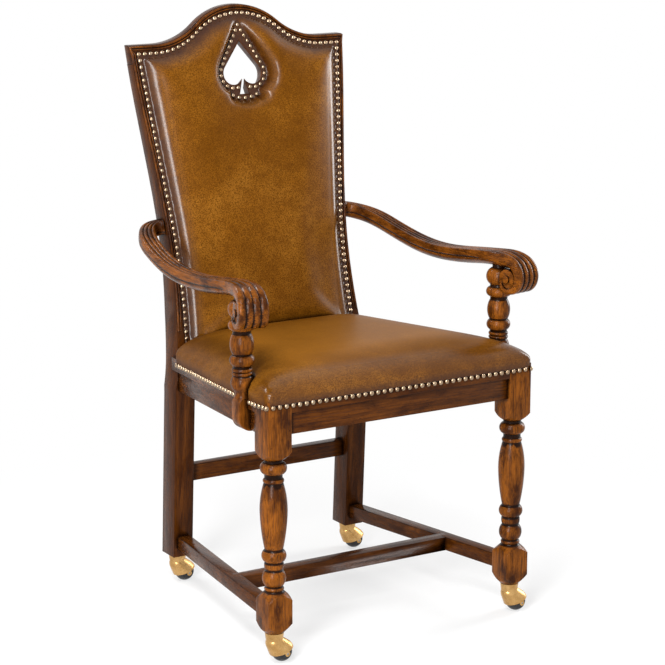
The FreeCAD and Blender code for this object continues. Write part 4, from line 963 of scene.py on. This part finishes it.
def make_back():
    path = grown(resampled(NAIL_LINE, 500), BAND)[::-1]
    flats = inward_rings(path, 500, 110)
    rings = [on_back(flats[0], -12 * MM)]
    rings += [on_back(flat, pad_height(flat)[0]) for flat in flats]
    piece = new_piece("back_cushion", ring_solid("back_cushion", rings))
    even_mesh(piece, 5 * MM)
    flat, height = off_back(coordinates(piece.data))
    edge, hollow = pad_height(flat)[1:]
    free = step(edge, 2 * MM, 14 * MM) * step(hollow, 2 * MM, 14 * MM) * step(height, 2 * MM, 6 * MM)
    swell(piece, 1 - free, 8 * MM)
    relax(piece, free, 14)
    subdivide(piece)
    flatten_behind(piece)
    flat, height = off_back(coordinates(piece.data))
    firm, edge, hollow = pad_height(flat)
    free = step(edge, 4 * MM, 26 * MM) * step(hollow, 4 * MM, 20 * MM)
    height = np.where(height > 0.5 * MM, firm + free * (height - firm), height)
    near = nearest(flat, np.vstack([back_nail_flat, spade_nail_flat]))
    pull = step(near, 12 * MM, 5 * MM) * step(height, LEATHER, 7 * MM)
    set_coordinates(piece.data, on_back(flat, height - NAIL_PULL * pull))
    cut_spade(piece)
    flat, height = off_back(coordinates(piece.data))
    edge, hollow = pad_height(flat)[1:]
    # Darker near the nail lines and round the opening: partly burnish, partly painted shade.
    burnish_and_shade = np.maximum(step(edge, 24 * MM, 0), step(hollow, 13 * MM, 0))
    # Painted shade on the low ridge round the spade tip.
    tip = np.hypot(flat[:, 0], 0.5 * (flat[:, 1] - SPADE_TIP_Z))
    burnish_and_shade = np.maximum(burnish_and_shade, 0.8 * step(tip, 34 * MM, 10 * MM))
    set_attribute(piece.data, "burnish_and_shade", burnish_and_shade)
    gloss = np.maximum(step(edge, 40 * MM, 6 * MM), step(hollow, 26 * MM, 6 * MM))
    set_attribute(piece.data, "gloss", gloss)
    dress(piece, HIDE, "leather", 0.85, "back_padding", "back_leather")


# Padding of the seat

SEAT_ROLL = 135 * MM
SEAT_CROWN = 43 * MM
SEAT_CORNER = 5 * MM
SEAT_POINTS = 520
SKIRT_PUFF = 0.7 * MM
FOLD_DEPTH = 1.2 * MM
FOLD_WIDTH = 4.5 * MM


def seat_outline(grow, corner):
    """Outline of the seat in plan, moved outwards by grow, with rounded corners; counterclockwise."""
    scale = 1 + grow / SEAT_FRONT_X
    rear = SEAT_REAR_Y + 0.25 * min(grow, 0)
    front = SEAT_FRONT_Y - grow
    bend = rear - (rear - front) * (SEAT_REAR_Y - LEG_BACK_Y) / (SEAT_REAR_Y - SEAT_FRONT_Y)
    wide, narrow = SEAT_FRONT_X * scale, SEAT_REAR_X * scale
    corners = [((-wide, front), corner), ((wide, front), corner), ((wide, bend), 8 * MM),
               ((narrow, rear), 6 * MM), ((-narrow, rear), 6 * MM), ((-wide, bend), 8 * MM)]
    points = []
    for index, (point, radius) in enumerate(corners):
        here = np.array(point)
        before = np.array(corners[index - 1][0]) - here
        after = np.array(corners[(index + 1) % len(corners)][0]) - here
        before /= np.linalg.norm(before)
        after /= np.linalg.norm(after)
        half = math.acos(np.clip(before @ after, -1, 1)) / 2
        reach = radius / math.tan(half)
        for share in np.linspace(0, 1, 9):
            points.append((1 - share) ** 2 * (here + before * reach) + 2 * share * (1 - share) * here
                          + share ** 2 * (here + after * reach))
    return resampled(np.array(points), SEAT_POINTS)


def on_seat(flat, height):
    return np.column_stack([flat, seat_z(flat[:, 1]) + height])


def seat_level(points):
    """Height of points above the seat frame."""
    return points[:, 2] - seat_z(points[:, 1])


def off_post(points):
    """Moves points that lie in the arm posts' room back towards the seat."""
    points = points.copy()
    for side in (-1, 1):
        away = points[:, :2] - (side * POST_X, POST_Y)
        gap = np.linalg.norm(away, axis=1)
        close = gap < POST_ROOM
        half = np.sqrt(np.maximum(POST_ROOM ** 2 - away[:, 1] ** 2, 0))
        points[close, 0] = side * (POST_X - half[close])
    return points


def make_seat():
    rings = [on_seat(seat_outline(LEATHER, SEAT_CORNER), level)
             for level in np.linspace(-SKIRT, DECK, 7)]
    for angle in np.radians(np.linspace(6, 88, 16)):
        inset = SEAT_ROLL * (1 - math.cos(angle))
        rise = SEAT_CROWN * math.sin(angle) ** 1.2
        rings.append(on_seat(seat_outline(LEATHER - inset, SEAT_CORNER + 0.6 * inset), DECK + rise))
    piece = new_piece("seat_cushion", ring_solid("seat_cushion", rings))
    even_mesh(piece, 6 * MM)
    points = off_post(coordinates(piece.data))
    set_coordinates(piece.data, points)
    level = seat_level(points)
    free = step(level, 8 * MM, 34 * MM)
    for side in (-1, 1):
        gap = np.hypot(points[:, 0] - side * POST_X, points[:, 1] - POST_Y)
        free *= step(gap, POST_ROOM + 2 * MM, POST_ROOM + 18 * MM)
    free *= step(points[:, 1], SEAT_REAR_Y - 1 * MM, SEAT_REAR_Y - 20 * MM)
    swell(piece, 1 - free, 9 * MM)
    relax(piece, free, 24)
    subdivide(piece)
    finish_seat(piece)
    dress(piece, HIDE, "leather", 0.9, "seat_padding", "seat_leather")


def finish_seat(piece):
    """Skirt, nail pulls and corner folds of the seat, and where its leather is dark by burnish and painted
    shade, pale by rubbed wear and painted light, or shiny.
    """
    points = off_post(coordinates(piece.data))
    normals = point_normals(piece.data)
    level = seat_level(points)
    depth = signed_distance(points[:, :2], seat_outline(LEATHER, SEAT_CORNER))
    gap = nearest(points, NAILS["seat_nails"][0])
    side_face = step(np.abs(normals[:, 2]), 0.8, 0.4)
    above = step(level, -NAIL_DROP, 4 * MM) * step(level, 26 * MM, 8 * MM)
    puff = SKIRT_PUFF * step(gap, 4 * MM, 13 * MM) * above * side_face
    points += normals * puff[:, None]
    for side in (-1, 1):
        corner = np.array((side * SEAT_FRONT_X, SEAT_FRONT_Y))
        away = points[:, :2] - corner
        across = (away[:, 0] * side + away[:, 1]) / math.sqrt(2)
        fold = np.exp(-(across / FOLD_WIDTH) ** 2) * step(level, 48 * MM, 6 * MM)
        fold *= step(np.linalg.norm(away, axis=1), 60 * MM, 20 * MM)
        points -= normals * (FOLD_DEPTH * fold)[:, None]
    under = (normals[:, 2] < -0.5) & (depth > 1.5 * MM)
    points[under, 2] = seat_z(points[under, 1]) + DECK - 0.5 * MM
    set_coordinates(piece.data, points)
    # Darker low on the skirt, along the rim and at the front corners: partly burnish, partly painted shade.
    burnish_and_shade = np.maximum(0.8 * step(level, 14 * MM, -6 * MM), 0.25 * step(depth, 60 * MM, 10 * MM))
    for side in (-1, 1):
        near = np.linalg.norm(points[:, :2] - (side * SEAT_FRONT_X, SEAT_FRONT_Y), axis=1)
        burnish_and_shade = np.maximum(burnish_and_shade, 0.5 * step(near, 90 * MM, 20 * MM))
    set_attribute(piece.data, "burnish_and_shade", burnish_and_shade)
    # Paler on the seat's upward faces away from the rim: partly rubbed wear, partly painted light.
    rubbed_and_lit_top = 0.43 * step(depth, 20 * MM, 130 * MM) * step(normals[:, 2], 0.7, 0.97)
    set_attribute(piece.data, "rubbed_and_lit_top", rubbed_and_lit_top)
    front = step(points[:, 1], SEAT_FRONT_Y + 70 * MM, SEAT_FRONT_Y + 15 * MM)
    set_attribute(piece.data, "gloss", 0.7 * front * step(np.abs(normals[:, 0]), 0.9, 0.6))


# Outside of the back, lining of the spade and dust cloth

CLOTH_CELLS = 33
CLOTH_SAG = 5 * MM


def make_outside_back():
    """Taut leather over thin wadding on the rear of the back."""
    flats = inward_rings(resampled(NAIL_LINE, 300), 300, 60)
    rings = [np.column_stack([flats[0][:, 0], rear_y(flats[0][:, 1]) + 0.1 * MM, flats[0][:, 1]])]
    for flat in flats:
        edge = np.maximum(signed_distance(flat, NAIL_LINE), 0)
        rise = 0.6 * MM + 1.4 * MM * roll(edge, 2 * MM) + 3.5 * MM * step(edge, 8 * MM, 60 * MM)
        rings.append(np.column_stack([flat[:, 0], rear_y(flat[:, 1]) + rise, flat[:, 1]]))
    piece = new_piece("outside_back", ring_solid("outside_back", rings))
    cut_spade(piece)
    points = coordinates(piece.data)
    edge = signed_distance(points[:, [0, 2]], NAIL_LINE)
    set_attribute(piece.data, "burnish_and_shade", 0.8 * step(edge, 34 * MM, 2 * MM))
    dress(piece, HIDE, "leather", 1.0, "rear_leather")


def make_lining():
    """Leather lining of the opening, rolled over at both ends."""
    profile = ((2.2, 2.2), (1.0, 2.9), (0.1, 2.2), (0.0, 0.0), (0.0, -13.0), (0.1, -26.0), (1.0, -28.0),
               (2.2, -27.0), (2.2, -14.0), (2.2, 0.0))
    rings = [on_back(spade_outline((out - SPADE_SPREAD * min(height, 0)) * MM)[::-1], height * MM)
             for out, height in profile]
    piece = new_piece("spade_lining", ring_tube("spade_lining", rings))
    paint(piece, LINING)
    piece.data.shade_smooth()
    piece.data.set_sharp_from_angle(angle=math.radians(50))
    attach(piece, "frame")
    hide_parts("spade_liner")


def make_dust_cloth():
    """Black cloth tacked under the rails, cut round the legs and sagging a little."""
    low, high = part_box("dust_cover")
    made = bmesh.new()
    made.from_mesh(NODES["dust_cover"].data)
    bmesh.ops.remove_doubles(made, verts=made.verts, dist=2e-6)
    bmesh.ops.delete(made, geom=[face for face in made.faces if face.normal.z > -0.9], context="FACES")
    bmesh.ops.dissolve_limit(made, angle_limit=math.radians(1), verts=made.verts, edges=made.edges)
    for axis in (0, 1):
        for place in np.linspace(low[axis], high[axis], CLOTH_CELLS + 1)[1:-1]:
            plane = Vector((0, 0, 0))
            plane[axis] = place
            everything = made.verts[:] + made.edges[:] + made.faces[:]
            bmesh.ops.bisect_plane(made, geom=everything, plane_co=plane, plane_no=plane.normalized())
    area = sum(face.calc_area() for face in made.faces)
    mesh = bpy.data.meshes.new("dust_cloth")
    made.to_mesh(mesh)
    made.free()
    points = coordinates(mesh)
    half = np.interp(points[:, 1], (low.y, high.y), (high.x, SEAT_REAR_X))
    along = (points[:, 1] - low.y) / (high.y - low.y)
    points[:, 2] -= CLOTH_SAG * np.clip(1 - (points[:, 0] / half) ** 2, 0, 1) * np.sin(math.pi * along)
    set_coordinates(mesh, points)
    piece = new_piece("dust_cloth", mesh)
    paint(piece, DUST)
    piece.data.shade_smooth()
    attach(piece, "frame")
    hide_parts("dust_cover")


# Finishes of the frame's nodes that stay as they are

def paint_nodes():
    finishes = {"caster_hood": CASTER_BRASS, "caster_wheel": WHEEL, "caster_axle": STEEL,
                "caster_stem": STEEL, "caster_socket": STEEL, "corner_block_screws": STEEL,
                "arm_post_screws": STEEL, "arm_screws": STEEL, "corner_blocks": BOARD, "seat_deck": BOARD,
                "back_board": BOARD}
    for node, piece in NODES.items():
        for start, finish in finishes.items():
            if node.startswith(start):
                paint(piece, finish)


# Floor, light and camera

CAMERA_PLACE = (-2.2488, -3.4432 + ORIGIN_Y, 1.5241)
CAMERA_TURN = math.radians(31.5606)
CAMERA_DROP = math.radians(12.9278)
LENS = 126.30
LENS_SHIFT = (-0.00237, -0.00101)
SKY = 0.4


def softbox(name, place, aim, size, power):
    """Rectangular lamp that faces a point."""
    lamp = bpy.data.lights.new(name, "AREA")
    lamp.shape = "RECTANGLE"
    lamp.size, lamp.size_y = size
    lamp.energy = power
    box = bpy.data.objects.new(name, lamp)
    box.location = place
    box.rotation_euler = (Vector(aim) - Vector(place)).to_track_quat("-Z", "Y").to_euler()
    SCENE.collection.objects.link(box)


def seen_directly(tree):
    """1 where the camera, a reflection or clear glass looks straight at a surface."""
    path = tree.node("ShaderNodeLightPath").outputs
    seen = path["Is Camera Ray"]
    for name in ("Is Glossy Ray", "Is Transmission Ray"):
        seen = tree.node("ShaderNodeMath", {0: seen, 1: path[name]}, operation="MAXIMUM").outputs[0]
    return seen


def make_world():
    """Even light from all sides behind a white backdrop."""
    world = bpy.data.worlds.new("studio")
    world.use_nodes = True
    SCENE.world = world
    studio = Tree(world.node_tree)
    sky = world.node_tree.nodes["Background"]
    sky.inputs["Color"].default_value = (1, 1, 1, 1)
    sky.inputs["Strength"].default_value = SKY
    white = studio.node("ShaderNodeBackground", {"Color": (1, 1, 1, 1)})
    mix = studio.node("ShaderNodeMixShader", {0: seen_directly(studio), 1: sky, 2: white})
    studio.feed(world.node_tree.nodes["World Output"].inputs["Surface"], mix)


def make_floor():
    """Pale floor that keeps the shadow and fades to white away from the chair."""
    size = 8.0
    mesh = mesh_of("floor", [(-size, -size, 0), (size, -size, 0), (size, size, 0), (-size, size, 0)],
                   [(0, 1, 2, 3)])
    floor = new_piece("floor", mesh)
    paper = Finish("pale floor", Roughness=1.0, Specular_IOR_Level=0.0)
    place = paper.place()
    paper.finish(paper.ramp(paper.noise(place, 3.0), (0.3, (0.86, 0.86, 0.86)), (0.7, (0.9, 0.9, 0.9))))
    reach = paper.node("ShaderNodeVectorMath", {0: place}, operation="LENGTH")
    away = paper.rise(reach.outputs["Value"], 0.3, 1.1, 0.6, 1.0)
    white = paper.node("ShaderNodeEmission")
    hidden = paper.combine("MULTIPLY", away, seen_directly(paper))
    fade = paper.node("ShaderNodeMixShader", {0: hidden, 1: paper.shader, 2: white})
    paper.feed(paper.tree.nodes["Material Output"].inputs["Surface"], fade)
    paint(floor, paper.material)


def make_studio():
    SCENE.view_settings.view_transform = "Standard"
    make_world()
    make_floor()
    softbox("left window", (-2.4, -2.1, 1.35), (0, 0, 0.6), (0.75, 1.9), 104)
    softbox("right window", (2.6, 0.1, 1.4), (0, 0, 0.6), (0.9, 1.8), 56)
    softbox("ceiling", (-1.4, -1.4, 2.8), (0, 0, 0.5), (0.9, 0.6), 54)
    softbox("rear window", (-0.9, 1.7, 2.5), (0, 0, 0.7), (0.9, 0.35), 24)
    lens = bpy.data.cameras.new("camera")
    lens.lens = LENS
    lens.shift_x, lens.shift_y = LENS_SHIFT
    camera = bpy.data.objects.new("camera", lens)
    camera.location = CAMERA_PLACE
    camera.rotation_euler = (math.pi / 2 - CAMERA_DROP, 0, -CAMERA_TURN)
    SCENE.collection.objects.link(camera)
    SCENE.camera = camera


make_studio()
paint_nodes()
make_woodwork()
make_beads()
make_nails()
make_back()
make_seat()
make_outside_back()
make_lining()
make_dust_cloth()
